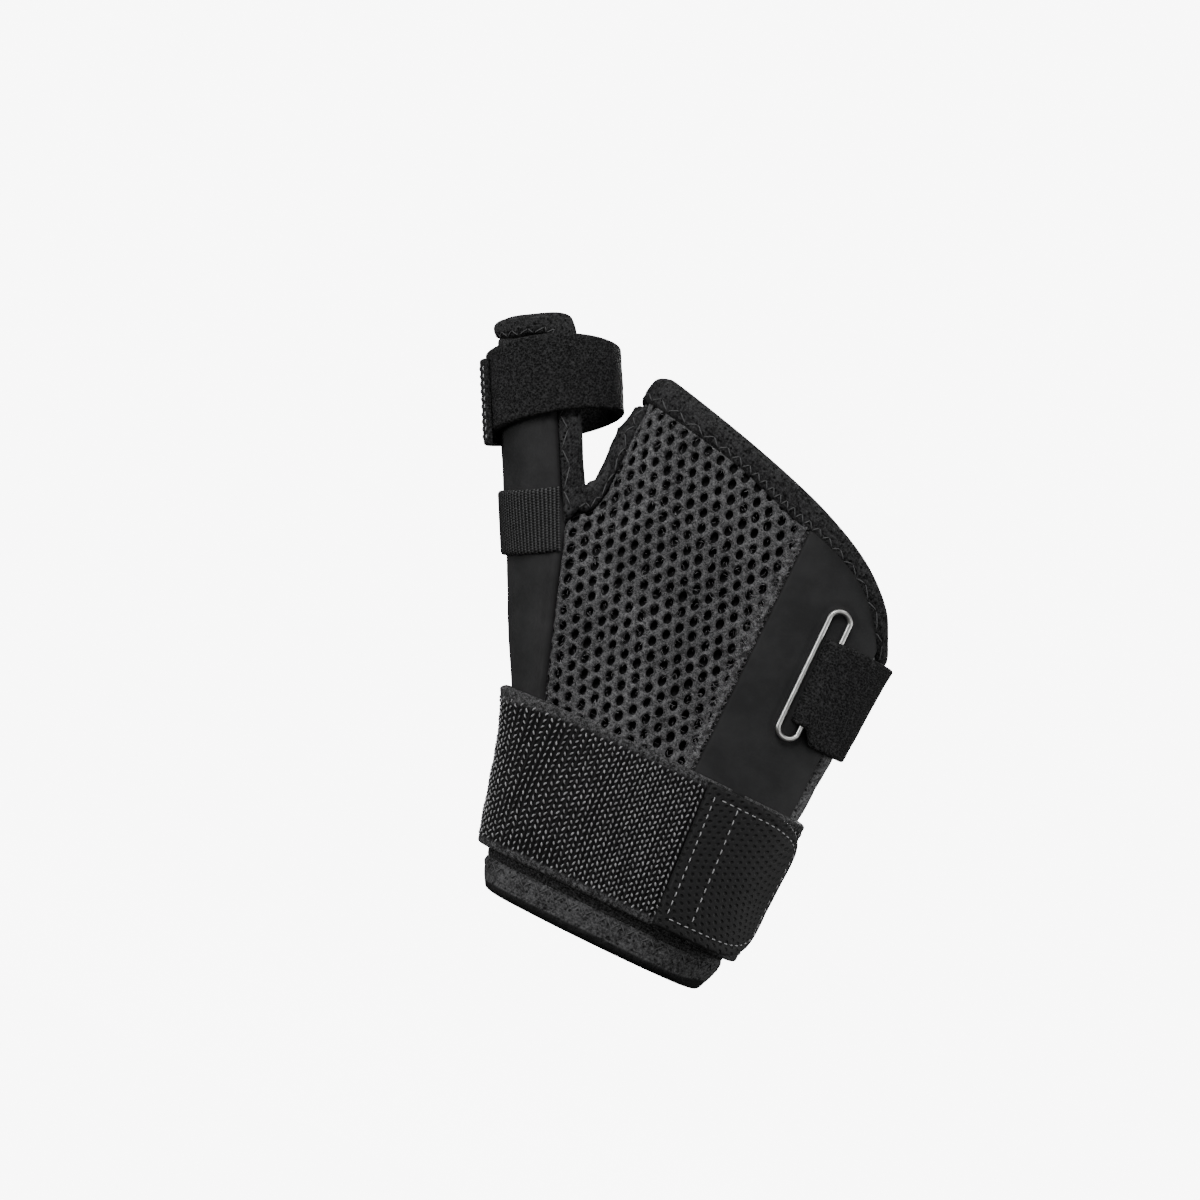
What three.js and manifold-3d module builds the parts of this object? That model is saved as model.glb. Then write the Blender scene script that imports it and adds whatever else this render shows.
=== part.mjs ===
// Right-hand thumb spica splint, held in the shape that it has on the wrist.
// Millimetres. +Z runs along the forearm towards the fingers, -Y is the back of the hand,
// and the thumb leans out to -X. The origin is the middle of the wrist, inside the cuff.
import * as THREE from "three";
import Module from "manifold-3d";
import { mergeVertices } from "three/addons/utils/BufferGeometryUtils.js";

const wasm = await Module();
wasm.setup();

const DEG = Math.PI / 180;
const GAP = 0.3; // clearance between neighbouring pieces

// Layer thicknesses, measured outwards from the skin.
const PANEL_WALL = 1.8;
const BINDING_WALL = 2.7;
const STRAP_WALL = 1.6;
const TAB_WALL = 1.8;

// Heights of the bands that go round the wrist.
const CUFF_LOW = -27;
const BINDING_TOP = -18;
const CUFF_HIGH = 20;
const STRAP_LOW = -16.2;
const STRAP_HIGH = 22.8;

// The thumb's axis leans to -X in the plane y = 0.
const THUMB_LEAN = 28.7 * DEG;
const THUMB_FOOT = { x: -12.7, z: -7 };
const BLEND = 14; // how far the thumb and the hand flow into each other

// The hand and wrist under the splint: each row is a section across the forearm's axis.
const HAND = [
  { z: -40, left: -25, right: 28, depth: 21.5 },
  { z: -27, left: -25.5, right: 28.5, depth: 21.5 },
  { z: -17, left: -30, right: 32, depth: 22 },
  { z: 0, left: -34, right: 32, depth: 22.5 },
  { z: 20, left: -37, right: 33, depth: 22 },
  { z: 40, left: -43, right: 34.5, depth: 21 },
  { z: 60, left: -45.5, right: 35.5, depth: 20 },
  { z: 80, left: -45, right: 37, depth: 18.5 },
  { z: 97, left: -44.5, right: 38, depth: 17.5 },
  { z: 115, left: -41, right: 38, depth: 16.5 },
];
const HAND_SQUARENESS = 2.25;

// The thumb's radius at stations along its axis.
const THUMB = [
  { s: 0, radius: 6 },
  { s: 20, radius: 7.4 },
  { s: 36, radius: 9.4 },
  { s: 50, radius: 11.2 },
  { s: 66, radius: 11.8 },
  { s: 110, radius: 11.8 },
  { s: 140, radius: 11.2 },
];

// Smooth value of a named column at a place along a table.
function along(table, key, column, place) {
  const last = table.length - 1;
  const p = Math.min(Math.max(place, table[0][key]), table[last][key]);
  let i = 0;
  while (i < last - 1 && p > table[i + 1][key]) i++;
  const slope = (j) => {
    const a = table[Math.max(j - 1, 0)];
    const b = table[Math.min(j + 1, last)];
    return (b[column] - a[column]) / (b[key] - a[key]);
  };
  const span = table[i + 1][key] - table[i][key];
  const t = (p - table[i][key]) / span;
  const rise = table[i + 1][column] - table[i][column];
  const m0 = slope(i) * span;
  const m1 = slope(i + 1) * span;
  return table[i][column] + t * (m0 + t * (3 * rise - 2 * m0 - m1 + t * (m0 + m1 - 2 * rise)));
}

// Signed distance, roughly, from the hand without its thumb.
function handField(x, y, z) {
  const left = along(HAND, "z", "left", z);
  const right = along(HAND, "z", "right", z);
  const dx = x - (left + right) / 2;
  const reach = Math.hypot(dx, y);
  const a = Math.abs(dx) / ((right - left) / 2);
  const b = Math.abs(y) / along(HAND, "z", "depth", z);
  const n = HAND_SQUARENESS;
  return reach - reach / Math.max((a ** n + b ** n) ** (1 / n), 1e-6);
}

function thumbField(x, y, z) {
  const dx = x - THUMB_FOOT.x;
  const dz = z - THUMB_FOOT.z;
  const station = -dx * Math.sin(THUMB_LEAN) + dz * Math.cos(THUMB_LEAN);
  const across = dx * Math.cos(THUMB_LEAN) + dz * Math.sin(THUMB_LEAN);
  return Math.hypot(across, y) - along(THUMB, "s", "radius", station);
}

// The skin is where this is zero.
function skinField(x, y, z) {
  const a = handField(x, y, z);
  const b = thumbField(x, y, z);
  const h = Math.max(BLEND - Math.abs(a - b), 0) / BLEND;
  return Math.min(a, b) - (h * h * BLEND) / 4;
}

const handAxis = (z) => (along(HAND, "z", "left", z) + along(HAND, "z", "right", z)) / 2;
const thumbAxis = (z) => THUMB_FOOT.x - (z - THUMB_FOOT.z) * Math.tan(THUMB_LEAN);

// Skin point seen from an axis at a turn: 0 is +X, 90 the back of the hand, 180 the thumb side.
function skinPoint(axis, turn, z) {
  const dx = Math.cos(turn * DEG);
  const dy = -Math.sin(turn * DEG);
  const x0 = axis(z);
  const step = 1.5;
  let low = 0;
  while (skinField(x0 + dx * (low + step), dy * (low + step), z) < 0 && low < 90) low += step;
  let high = low + step;
  for (let i = 0; i < 24; i++) {
    const middle = (low + high) / 2;
    if (skinField(x0 + dx * middle, dy * middle, z) < 0) low = middle;
    else high = middle;
  }
  return new THREE.Vector3(x0 + dx * low, dy * low, z);
}

// Unit vector out of the skin.
function outward(p) {
  const e = 0.25;
  return new THREE.Vector3(
    skinField(p.x + e, p.y, p.z) - skinField(p.x - e, p.y, p.z),
    skinField(p.x, p.y + e, p.z) - skinField(p.x, p.y - e, p.z),
    skinField(p.x, p.y, p.z + e) - skinField(p.x, p.y, p.z - e),
  ).normalize();
}

// The turn at which the skin has a given x, on the back of the hand or, mirrored, on the palm.
function turnAt(axis, x, z, palm = false) {
  let low = 2;
  let high = 178;
  for (let i = 0; i < 18; i++) {
    const middle = (low + high) / 2;
    if (skinPoint(axis, middle, z).x > x) low = middle;
    else high = middle;
  }
  return palm ? 360 - low : low;
}

// Height of a station along the thumb, on the side that faces a turn.
function thumbHeight(station, turn) {
  const side = along(THUMB, "s", "radius", station) / Math.cos(THUMB_LEAN);
  const tilt = Math.sin(THUMB_LEAN) * Math.cos(THUMB_LEAN) * side * Math.cos(turn * DEG);
  return THUMB_FOOT.z + station * Math.cos(THUMB_LEAN) + tilt;
}

const mix = (a, b, t) => a + (b - a) * t;

// Closed solid from a grid of inner and outer points. A closed grid meets itself in u.
function slab(columns, rows, inner, outer, closed = false) {
  const positions = [];
  const index = [];
  const around = closed ? columns : columns + 1;
  for (const side of [inner, outer]) {
    for (let i = 0; i < around; i++) {
      for (let j = 0; j <= rows; j++) positions.push(...side(i / columns, j / rows).toArray());
    }
  }
  const half = around * (rows + 1);
  const at = (layer, i, j) => layer * half + (i % around) * (rows + 1) + j;
  const quad = (a, b, c, d) => index.push(a, b, c, a, c, d);
  for (let i = 0; i < columns; i++) {
    for (let j = 0; j < rows; j++) {
      quad(at(1, i, j), at(1, i, j + 1), at(1, i + 1, j + 1), at(1, i + 1, j));
      quad(at(0, i, j), at(0, i + 1, j), at(0, i + 1, j + 1), at(0, i, j + 1));
    }
    quad(at(0, i, 0), at(1, i, 0), at(1, i + 1, 0), at(0, i + 1, 0));
    quad(at(1, i, rows), at(0, i, rows), at(0, i + 1, rows), at(1, i + 1, rows));
  }
  if (!closed) {
    for (let j = 0; j < rows; j++) {
      quad(at(0, 0, j), at(0, 0, j + 1), at(1, 0, j + 1), at(1, 0, j));
      quad(at(1, columns, j), at(1, columns, j + 1), at(0, columns, j + 1), at(0, columns, j));
    }
  }
  const geometry = new THREE.BufferGeometry();
  geometry.setAttribute("position", new THREE.Float32BufferAttribute(positions, 3));
  geometry.setIndex(index);
  geometry.computeVertexNormals();
  return geometry;
}

// A piece of sheet that lies over the skin. place(u, v) gives [turn, height],
// with the turn growing along u and the height along v.
function sheet(axis, columns, rows, place, floor, wall) {
  const lift = (height) => (u, v) => {
    const [turn, z] = place(u, v);
    const p = skinPoint(axis, turn, z);
    const h = typeof height === "function" ? height(u, v) : height;
    return p.addScaledVector(outward(p), h);
  };
  const top = typeof floor === "function" ? (u, v) => floor(u, v) + wall : floor + wall;
  return slab(columns, rows, lift(floor), lift(top));
}

// Lines on the back of the hand, as x for each height z.
const THUMB_SEAM = [
  { z: 20, x: -33.3 },
  { z: 40, x: -40.5 },
  { z: 58, x: -47 },
  { z: 66, x: -49.8 },
];
const MESH_LEFT = [
  { z: 20, x: -33.3 },
  { z: 40, x: -40.5 },
  { z: 58, x: -47 },
  { z: 64, x: -49.2 },
  { z: 67, x: -48 },
  { z: 70, x: -44.8 },
  { z: 75, x: -43.5 },
  { z: 90, x: -42.9 },
  { z: 101, x: -42.2 },
];
const STAY_SEAM = 5; // straight line between the mesh and the smooth panel
const ULNAR_EDGE = 3; // turn at which the back's panels stop, on the little finger's side
const ULNAR_STRIP = 9; // width of that edge's binding, in degrees of turn

// The edge round the fingers, on the back: the binding's inner line and its free edge.
const FINGER_EDGE = [
  { x: -45, inner: 100.8, edge: 109.5 },
  { x: -30, inner: 98.2, edge: 106 },
  { x: -15, inner: 95, edge: 102.3 },
  { x: 0, inner: 90, edge: 98 },
  { x: 10, inner: 87.8, edge: 94.4 },
  { x: 20, inner: 83.6, edge: 89.6 },
  { x: 27, inner: 78, edge: 84.6 },
  { x: 32, inner: 71, edge: 79 },
  { x: 36, inner: 63, edge: 70 },
];
const PALM_EDGE = [
  { turn: 186, inner: 99, edge: 107.5 },
  { turn: 230, inner: 90, edge: 98 },
  { turn: 280, inner: 78, edge: 86 },
  { turn: 336, inner: 64, edge: 71 },
];
const PALM_STOP = 336; // turn at which the palm's panel stops
const WEB_TURN = 180;
const THUMB_EDGE = { panel: 84, palmPanel: 260, inner: 127.5, corner: 10 };

const fingerInner = (x) => along(FINGER_EDGE, "x", "inner", x);
const fingerOuter = (x) => along(FINGER_EDGE, "x", "edge", x);

// Height along a line given by x, at a turn.
function heightOnLine(line, turn) {
  let z = 95;
  for (let i = 0; i < 12; i++) z = mix(z, line(skinPoint(handAxis, turn, z).x), 0.7);
  return z;
}

// The band of the body that the wrist strap covers.
function wristCuff() {
  const place = (u, v) => [mix(ULNAR_EDGE, PALM_STOP, u), mix(BINDING_TOP + GAP, CUFF_HIGH - GAP, v)];
  return sheet(handAxis, 44, 4, place, 0, PANEL_WALL);
}

function wristBinding() {
  const place = (u, v) => [mix(ULNAR_EDGE, PALM_STOP, u), mix(CUFF_LOW, BINDING_TOP, v)];
  return sheet(handAxis, 44, 2, place, 0, BINDING_WALL);
}

// The open-weave panel on the back, between the thumb and the smooth panel.
function meshPanel() {
  const place = (u, v) => {
    const topTurn = mix(turnAt(handAxis, STAY_SEAM - GAP, 88), turnAt(handAxis, -42.6, 100), u);
    const z = mix(CUFF_HIGH, heightOnLine(fingerInner, topTurn) - GAP, v);
    const left = turnAt(handAxis, along(MESH_LEFT, "z", "x", z) + GAP, z);
    return [mix(turnAt(handAxis, STAY_SEAM - GAP, z), left, u), z];
  };
  return sheet(handAxis, 16, 22, place, 0, PANEL_WALL + 0.5);
}

// The smooth panel over the back's stay, before its slot is cut.
function stayBlank() {
  const place = (u, v) => {
    const topTurn = mix(ULNAR_EDGE + ULNAR_STRIP, turnAt(handAxis, STAY_SEAM, 88), u);
    const z = mix(CUFF_HIGH, heightOnLine(fingerInner, topTurn) - GAP, v);
    return [mix(ULNAR_EDGE + ULNAR_STRIP, turnAt(handAxis, STAY_SEAM, z), u), z];
  };
  return sheet(handAxis, 8, 16, place, 0, PANEL_WALL);
}

// The slot for the palm strap, and the wire ring round it.
const SLOT = { x: 21.5, low: 39.4, high: 75.2, halfWidth: 3.2, wire: 0.65 };

function slotOutline(halfWidth) {
  const low = SLOT.low + SLOT.halfWidth;
  const high = SLOT.high - SLOT.halfWidth;
  const path = new THREE.Shape();
  path.absarc(SLOT.x, high, halfWidth, 0, Math.PI, false);
  path.absarc(SLOT.x, low, halfWidth, Math.PI, 2 * Math.PI, false);
  path.closePath();
  return path;
}

function solidOf(geometry) {
  const bare = geometry.clone();
  bare.deleteAttribute("normal");
  bare.deleteAttribute("uv");
  const merged = mergeVertices(bare, 1e-4);
  return new wasm.Manifold(
    new wasm.Mesh({
      numProp: 3,
      vertProperties: merged.attributes.position.array,
      triVerts: new Uint32Array(merged.index.array),
    }),
  );
}

function geometryOf(solid) {
  const mesh = solid.getMesh();
  const geometry = new THREE.BufferGeometry();
  geometry.setAttribute("position", new THREE.Float32BufferAttribute(mesh.vertProperties, 3));
  geometry.setIndex(new THREE.BufferAttribute(mesh.triVerts, 1));
  geometry.computeVertexNormals();
  return geometry;
}

function stayPanel() {
  const reach = 60;
  const opening = slotOutline(SLOT.halfWidth - 2 * SLOT.wire + 0.2);
  const cutter = new THREE.ExtrudeGeometry(opening, { depth: reach, bevelEnabled: false, curveSegments: 6 });
  cutter.rotateX(Math.PI / 2);
  return geometryOf(solidOf(stayBlank()).subtract(solidOf(cutter)));
}

function slotRing() {
  const middle = slotOutline(SLOT.halfWidth - SLOT.wire).getSpacedPoints(36).slice(0, 36);
  const sides = 6;
  const lift = PANEL_WALL + GAP + SLOT.wire;
  const centres = middle.map((p) => {
    const skin = skinPoint(handAxis, turnAt(handAxis, p.x, p.y), p.y);
    return skin.addScaledVector(outward(skin), lift);
  });
  const positions = [];
  const index = [];
  const count = centres.length;
  centres.forEach((c, i) => {
    const forward = centres[(i + 1) % count].clone().sub(centres[(i + count - 1) % count]).normalize();
    const up = outward(c).cross(forward).cross(forward).negate().normalize();
    const side = forward.clone().cross(up);
    for (let k = 0; k < sides; k++) {
      const a = (2 * Math.PI * k) / sides;
      const p = c.clone().addScaledVector(up, SLOT.wire * Math.cos(a));
      positions.push(...p.addScaledVector(side, SLOT.wire * Math.sin(a)).toArray());
    }
  });
  for (let i = 0; i < count; i++) {
    for (let k = 0; k < sides; k++) {
      const a = i * sides + k;
      const b = i * sides + ((k + 1) % sides);
      const c = ((i + 1) % count) * sides + ((k + 1) % sides);
      const d = ((i + 1) % count) * sides + k;
      index.push(a, b, c, a, c, d);
    }
  }
  const geometry = new THREE.BufferGeometry();
  geometry.setAttribute("position", new THREE.Float32BufferAttribute(positions, 3));
  geometry.setIndex(index);
  geometry.computeVertexNormals();
  return geometry;
}

const palmInner = (turn) => along(PALM_EDGE, "turn", "inner", turn);
const palmOuter = (turn) => along(PALM_EDGE, "turn", "edge", turn);

// The palm's wall, from the thumb panel's seam to the slit on the little finger's side.
function palmPanel() {
  const place = (u, v) => {
    const topTurn = mix(turnAt(handAxis, -42.6, 92, true), PALM_STOP, u);
    const z = mix(CUFF_HIGH, palmInner(topTurn) - 3 * GAP, v);
    const left = turnAt(handAxis, along(MESH_LEFT, "z", "x", z) + GAP, z, true);
    return [mix(left, PALM_STOP, u), z];
  };
  return sheet(handAxis, 16, 16, place, 0, PANEL_WALL);
}

// One binding round the fingers' opening: over the back, through the web and across the palm.
function fingerBinding() {
  const backStop = 172;
  const palmStart = 188;
  const line = (turn, back, palm) => {
    if (turn <= backStop) return heightOnLine(back, turn);
    if (turn >= palmStart) return palm(turn);
    const t = (turn - backStop) / (palmStart - backStop);
    return mix(heightOnLine(back, backStop), palm(palmStart), t);
  };
  const place = (u, v) => {
    const turn = mix(ULNAR_EDGE, PALM_STOP, u);
    return [turn, mix(line(turn, fingerInner, palmInner), line(turn, fingerOuter, palmOuter), v)];
  };
  return sheet(handAxis, 60, 2, place, 0, BINDING_WALL);
}

// The binding down the back panel's edge, on the little finger's side.
function ulnarBinding() {
  const place = (u, v) => {
    const turn = mix(ULNAR_EDGE, ULNAR_EDGE + ULNAR_STRIP - 0.5, u);
    return [turn, mix(CUFF_HIGH, heightOnLine(fingerInner, turn) - GAP, v)];
  };
  return sheet(handAxis, 2, 12, place, 0, BINDING_WALL);
}

// The binding of the thumb's hole, on the hand's side: up the back, over the web and down the palm.
// The free edge faces the thumb, and the inner line meets the mesh.
const WEB_BINDING = [
  { step: 0, edgeX: -50.4, edgeZ: 74.4, innerX: -51, innerZ: 68.2 },
  { step: 1, edgeX: -49.6, edgeZ: 75.2, innerX: -46.4, innerZ: 68.9 },
  { step: 2, edgeX: -49.2, edgeZ: 78, innerX: -44.2, innerZ: 73.5 },
  { step: 3, edgeX: -48.8, edgeZ: 84, innerX: -43.6, innerZ: 84 },
  { step: 4, edgeX: -48.2, edgeZ: 91, innerX: -43.2, innerZ: 93 },
  { step: 5, edgeX: -47.2, edgeZ: 94.6, innerX: -42.9, innerZ: 99.8 },
];

const PALM_DROP = 3.4; // how much lower the hole's top corner is on the palm

function webBinding() {
  const last = WEB_BINDING[WEB_BINDING.length - 1];
  const top = { edge: 96.6, inner: 98.6 };
  const row = (step, palm) => {
    const read = (column) => along(WEB_BINDING, "step", column, step);
    const drop = palm ? PALM_DROP * Math.max(step - 3, 0) / 2 : 0;
    const edge = turnAt(handAxis, read("edgeX"), read("edgeZ"), palm);
    const inner = turnAt(handAxis, read("innerX"), read("innerZ"), palm);
    return [edge, read("edgeZ"), inner, read("innerZ") - drop];
  };
  const crown = [WEB_TURN, top.edge, WEB_TURN, top.inner + 0.6];
  const place = (u, v) => {
    const walk = u * 2 * (last.step + 1);
    const palm = walk > last.step + 1;
    const step = palm ? 2 * (last.step + 1) - walk : walk;
    const near = row(Math.min(step, last.step), palm);
    const t = Math.max(step - last.step, 0);
    const now = near.map((value, k) => mix(value, crown[k], t));
    return [mix(now[0], now[2], v), mix(now[1], now[3], v)];
  };
  return sheet(handAxis, 30, 2, place, 0, BINDING_WALL);
}

// The smooth panel over the thumb's stay, from the wrist strap to near the tip.
function thumbPanel() {
  const columns = 16;
  const seam = (z, palm) => {
    const open = palm ? THUMB_EDGE.palmPanel : THUMB_EDGE.panel;
    const seamTurn = turnAt(thumbAxis, along(THUMB_SEAM, "z", "x", z) - GAP, z, palm);
    const share = Math.min(Math.max((z - 62) / 8, 0), 1);
    return mix(seamTurn, open, share);
  };
  const place = (u, v) => {
    const topTurn = mix(THUMB_EDGE.panel, THUMB_EDGE.palmPanel, u);
    const corner = THUMB_EDGE.corner * Math.max(1 - columns * Math.min(u, 1 - u), 0);
    const z = mix(CUFF_HIGH, thumbHeight(THUMB_EDGE.inner - corner - 2 * GAP, topTurn), v);
    return [mix(seam(z, false), seam(z, true), u), z];
  };
  return sheet(thumbAxis, columns, 18, place, 0, PANEL_WALL);
}

// The binding round the thumb panel's free edge: up one side, over the tip and down the other.
const THUMB_BINDING = [
  { step: 0, edge: 53, edgeS: 91, inner: 84, innerS: 86 },
  { step: 1, edge: 53, edgeS: 105, inner: 84, innerS: 105 },
  { step: 2, edge: 53, edgeS: 123, inner: 84, innerS: 118 },
  { step: 3, edge: 61, edgeS: 130, inner: 89, innerS: 124 },
  { step: 4, edge: 84, edgeS: 133.4, inner: 99, innerS: 127.8 },
  { step: 5, edge: 130, edgeS: 133.6, inner: 140, innerS: 127.5 },
  { step: 6, edge: 173, edgeS: 132.6, inner: 173, innerS: 127.5 },
  { step: 7, edge: 216, edgeS: 133.6, inner: 206, innerS: 127.5 },
  { step: 8, edge: 262, edgeS: 133.4, inner: 247, innerS: 127.8 },
  { step: 9, edge: 284, edgeS: 130, inner: 257, innerS: 124 },
  { step: 10, edge: 292, edgeS: 123, inner: 262, innerS: 118 },
  { step: 11, edge: 292, edgeS: 105, inner: 262, innerS: 105 },
  { step: 12, edge: 292, edgeS: 92, inner: 264, innerS: 89 },
];

function thumbBinding() {
  const place = (u, v) => {
    const read = (column) => along(THUMB_BINDING, "step", column, 12 * u);
    const turn = mix(read("inner") - 2 * Math.cos(Math.PI * u), read("edge"), v);
    return [turn, thumbHeight(mix(read("innerS"), read("edgeS"), v), turn)];
  };
  return sheet(thumbAxis, 48, 2, place, 0, BINDING_WALL);
}

// The ribbed elastic over the thumb panel.
function thumbElastic() {
  const elastic = { low: 73.3, high: 89.7, start: 87, stop: 260, wall: 1.2 };
  const place = (u, v) => {
    const turn = mix(elastic.start, elastic.stop, u);
    return [turn, thumbHeight(mix(elastic.low, elastic.high, v), turn)];
  };
  return sheet(thumbAxis, 16, 3, place, PANEL_WALL + GAP, elastic.wall);
}

// The loop strap round the thumb, a little tilted so that its back is lower than its front.
const THUMB_STRAP = { across: -13.9, halfAcross: 15.6, halfDeep: 15, width: 20.6, station: 115.6, tilt: 3, skew: 1.8 };

// A point in the thumb's own frame: across it, in depth, and along it.
function thumbPoint(across, deep, station) {
  const c = Math.cos(THUMB_LEAN);
  const s = Math.sin(THUMB_LEAN);
  return new THREE.Vector3(across * c - station * s, deep, across * s + station * c);
}

function thumbStrap() {
  const ring = (grow) => (u, v) => {
    const a = 2 * Math.PI * u;
    const lean = THUMB_STRAP.tilt * Math.sin(a) + THUMB_STRAP.skew * Math.cos(a);
    const station = THUMB_STRAP.station + lean + THUMB_STRAP.width * (v - 0.5);
    const across = THUMB_STRAP.across + (THUMB_STRAP.halfAcross + grow) * Math.cos(a);
    return thumbPoint(across, -(THUMB_STRAP.halfDeep + grow) * Math.sin(a), station);
  };
  return slab(36, 3, ring(0), ring(STRAP_WALL), true);
}

// The strap's sewn end, lying on the loop at the thumb's outer side.
function thumbStrapTab() {
  const tab = { low: 101, high: 123, from: 158, to: 215, wall: 1.3 };
  const at = (grow) => (u, v) => {
    const a = mix(tab.from, tab.to, u) * DEG;
    const reach = STRAP_WALL + GAP + grow;
    const across = THUMB_STRAP.across + (THUMB_STRAP.halfAcross + reach) * Math.cos(a);
    const deep = -(THUMB_STRAP.halfDeep + reach) * Math.sin(a);
    return thumbPoint(across, deep, mix(tab.low, tab.high, v));
  };
  return slab(6, 2, at(0), at(tab.wall));
}

// The wide elastic strap round the wrist. Its two ends meet under the tab.
const STRAP_FLOOR = BINDING_WALL + GAP;
const TAB = { left: 11, slant: 0.06, low: -15.6, high: 22.2, right: 5, round: 30, power: 2.8 };

function wristStrap() {
  const start = turnAt(handAxis, 17, 0);
  const stop = 360 + turnAt(handAxis, 20, 0);
  const place = (u, v) => [mix(start, stop, u), mix(STRAP_LOW, STRAP_HIGH, v)];
  return sheet(handAxis, 56, 4, place, STRAP_FLOOR, STRAP_WALL);
}

function strapTab() {
  const middle = (TAB.low + TAB.high) / 2;
  const half = (TAB.high - TAB.low) / 2;
  const place = (u, v) => {
    const seamZ = middle + half * (2 * v - 1);
    const turn = mix(TAB.right, turnAt(handAxis, TAB.left - TAB.slant * seamZ, seamZ), u);
    const t = Math.min(Math.max((TAB.right + TAB.round - turn) / TAB.round, 0), 0.97);
    const h = half * (1 - t ** TAB.power) ** (1 / TAB.power);
    return [turn, middle + h * (2 * v - 1)];
  };
  return sheet(handAxis, 14, 6, place, STRAP_FLOOR + STRAP_WALL + GAP, TAB_WALL);
}

// The strap that comes up through the slot and passes round the little finger's side to the palm.
const PALM_STRAP = { low: 40.8, high: 67.6, slotLow: 44.5, slotHigh: 67.2, start: 20.5, flat: 27, stop: -100 };

function palmStrap() {
  const { x, halfWidth, wire } = SLOT;
  const over = PANEL_WALL + 2 * GAP + 2 * wire;
  const slotShare = 0.35;
  const xOf = (u) => mix(PALM_STRAP.flat, PALM_STRAP.start, (u - 1 + slotShare) / slotShare);
  const place = (u, v) => {
    const inSlot = u > 1 - slotShare;
    const near = turnAt(handAxis, inSlot ? xOf(u) : PALM_STRAP.flat, 54);
    const turn = inSlot ? near : mix(PALM_STRAP.stop, near, u / (1 - slotShare));
    const squeeze = inSlot ? Math.min((u - 1 + slotShare) / slotShare / 0.5, 1) : 0;
    const low = mix(PALM_STRAP.low, PALM_STRAP.slotLow, squeeze);
    return [turn, mix(low, mix(PALM_STRAP.high, PALM_STRAP.slotHigh, squeeze), v)];
  };
  const floor = (u) => {
    if (u <= 1 - slotShare) return mix(STRAP_FLOOR + 0.2, over, Math.max(u / (1 - slotShare) - 0.7, 0) / 0.3);
    const edge = x + halfWidth - 2 * wire;
    const dive = Math.min(Math.max((edge - xOf(u)) / (edge - PALM_STRAP.start), 0), 1);
    return mix(over, 0.2, dive);
  };
  return sheet(handAxis, 36, 3, place, floor, 1.3);
}

const group = new THREE.Group();

function add(name, geometry, color, roughness, metalness = 0) {
  const material = new THREE.MeshStandardMaterial({ color, roughness, metalness });
  const mesh = new THREE.Mesh(geometry, material);
  mesh.name = name;
  group.add(mesh);
}

add("wrist_cuff", wristCuff(), 0x1b1b1c, 0.5);
add("thumb_panel", thumbPanel(), 0x242425, 0.45);
add("mesh_panel", meshPanel(), 0x3c3c3e, 0.9);
add("stay_panel", stayPanel(), 0x262627, 0.42);
add("palm_panel", palmPanel(), 0x2b2b2d, 0.9);
add("finger_binding", fingerBinding(), 0x2a2b2c, 0.95);
add("ulnar_binding", ulnarBinding(), 0x37393a, 0.95);
add("wrist_binding", wristBinding(), 0x37393a, 0.95);
add("web_binding", webBinding(), 0x2a2b2c, 0.95);
add("thumb_binding", thumbBinding(), 0x2a2b2c, 0.95);
add("thumb_elastic", thumbElastic(), 0x202022, 0.9);
add("thumb_strap", thumbStrap(), 0x161617, 0.95);
add("thumb_strap_tab", thumbStrapTab(), 0x1c1c1d, 0.8);
add("wrist_strap", wristStrap(), 0x2d2d2f, 0.85);
add("strap_tab", strapTab(), 0x19191a, 0.6);
add("palm_strap", palmStrap(), 0x121213, 0.95);
add("slot_ring", slotRing(), 0xb4b4b2, 0.35, 1);

export default group;
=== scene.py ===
"""Looks of the thumb spica splint: every fabric piece, strap, stitch and the wire ring."""

import math

import bmesh
import bpy
import numpy as np
from mathutils import Matrix, Vector


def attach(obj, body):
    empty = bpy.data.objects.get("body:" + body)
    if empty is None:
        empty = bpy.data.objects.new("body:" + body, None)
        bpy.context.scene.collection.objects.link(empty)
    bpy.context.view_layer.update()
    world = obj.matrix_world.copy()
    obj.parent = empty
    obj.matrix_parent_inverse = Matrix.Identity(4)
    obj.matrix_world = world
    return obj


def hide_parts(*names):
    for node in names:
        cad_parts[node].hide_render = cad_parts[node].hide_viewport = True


bl_info = {
    "name": "Thumb spica splint",
    "version": (1, 0, 0),
    "blender": (4, 0, 0),
    "location": "View3D > Sidebar > Splint",
    "description": "Builds a worn wrist and thumb splint with its straps and stitching",
    "category": "Add Mesh",
}

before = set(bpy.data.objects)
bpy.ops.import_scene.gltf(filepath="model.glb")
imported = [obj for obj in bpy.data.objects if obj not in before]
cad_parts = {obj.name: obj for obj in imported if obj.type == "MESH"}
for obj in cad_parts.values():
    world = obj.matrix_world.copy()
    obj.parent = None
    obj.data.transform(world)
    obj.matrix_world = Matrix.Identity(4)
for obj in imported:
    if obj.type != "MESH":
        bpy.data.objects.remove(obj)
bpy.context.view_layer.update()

# Sizes are in millimetres, turns in degrees.
MM = 0.001
PANEL_WALL, BINDING_WALL, STRAP_WALL, TAB_WALL = 1.8, 2.7, 1.6, 1.8
EDGE_WALL = 0.12
GAP = 0.3
LEAST_FLAT = 10.5
MERGE, SLIVER = 0.01, 0.002
CUFF_LOW, BINDING_TOP, CUFF_HIGH = -27, -18, 20
STRAP_LOW, STRAP_HIGH = -16.2, 22.8
STRAP_FLOOR = BINDING_WALL + GAP
STRAP_START_X, STRAP_STOP_X = 17, 20
STAGE_FLOOR = -160
LEAN = math.radians(28.7)
FOOT_X, FOOT_Z = -12.7, -7
BLEND = 14
SQUARENESS = 2.25
STAY_SEAM = 5
ULNAR_EDGE, ULNAR_STRIP = 3, 11.5
PALM_STOP = 336
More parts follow.
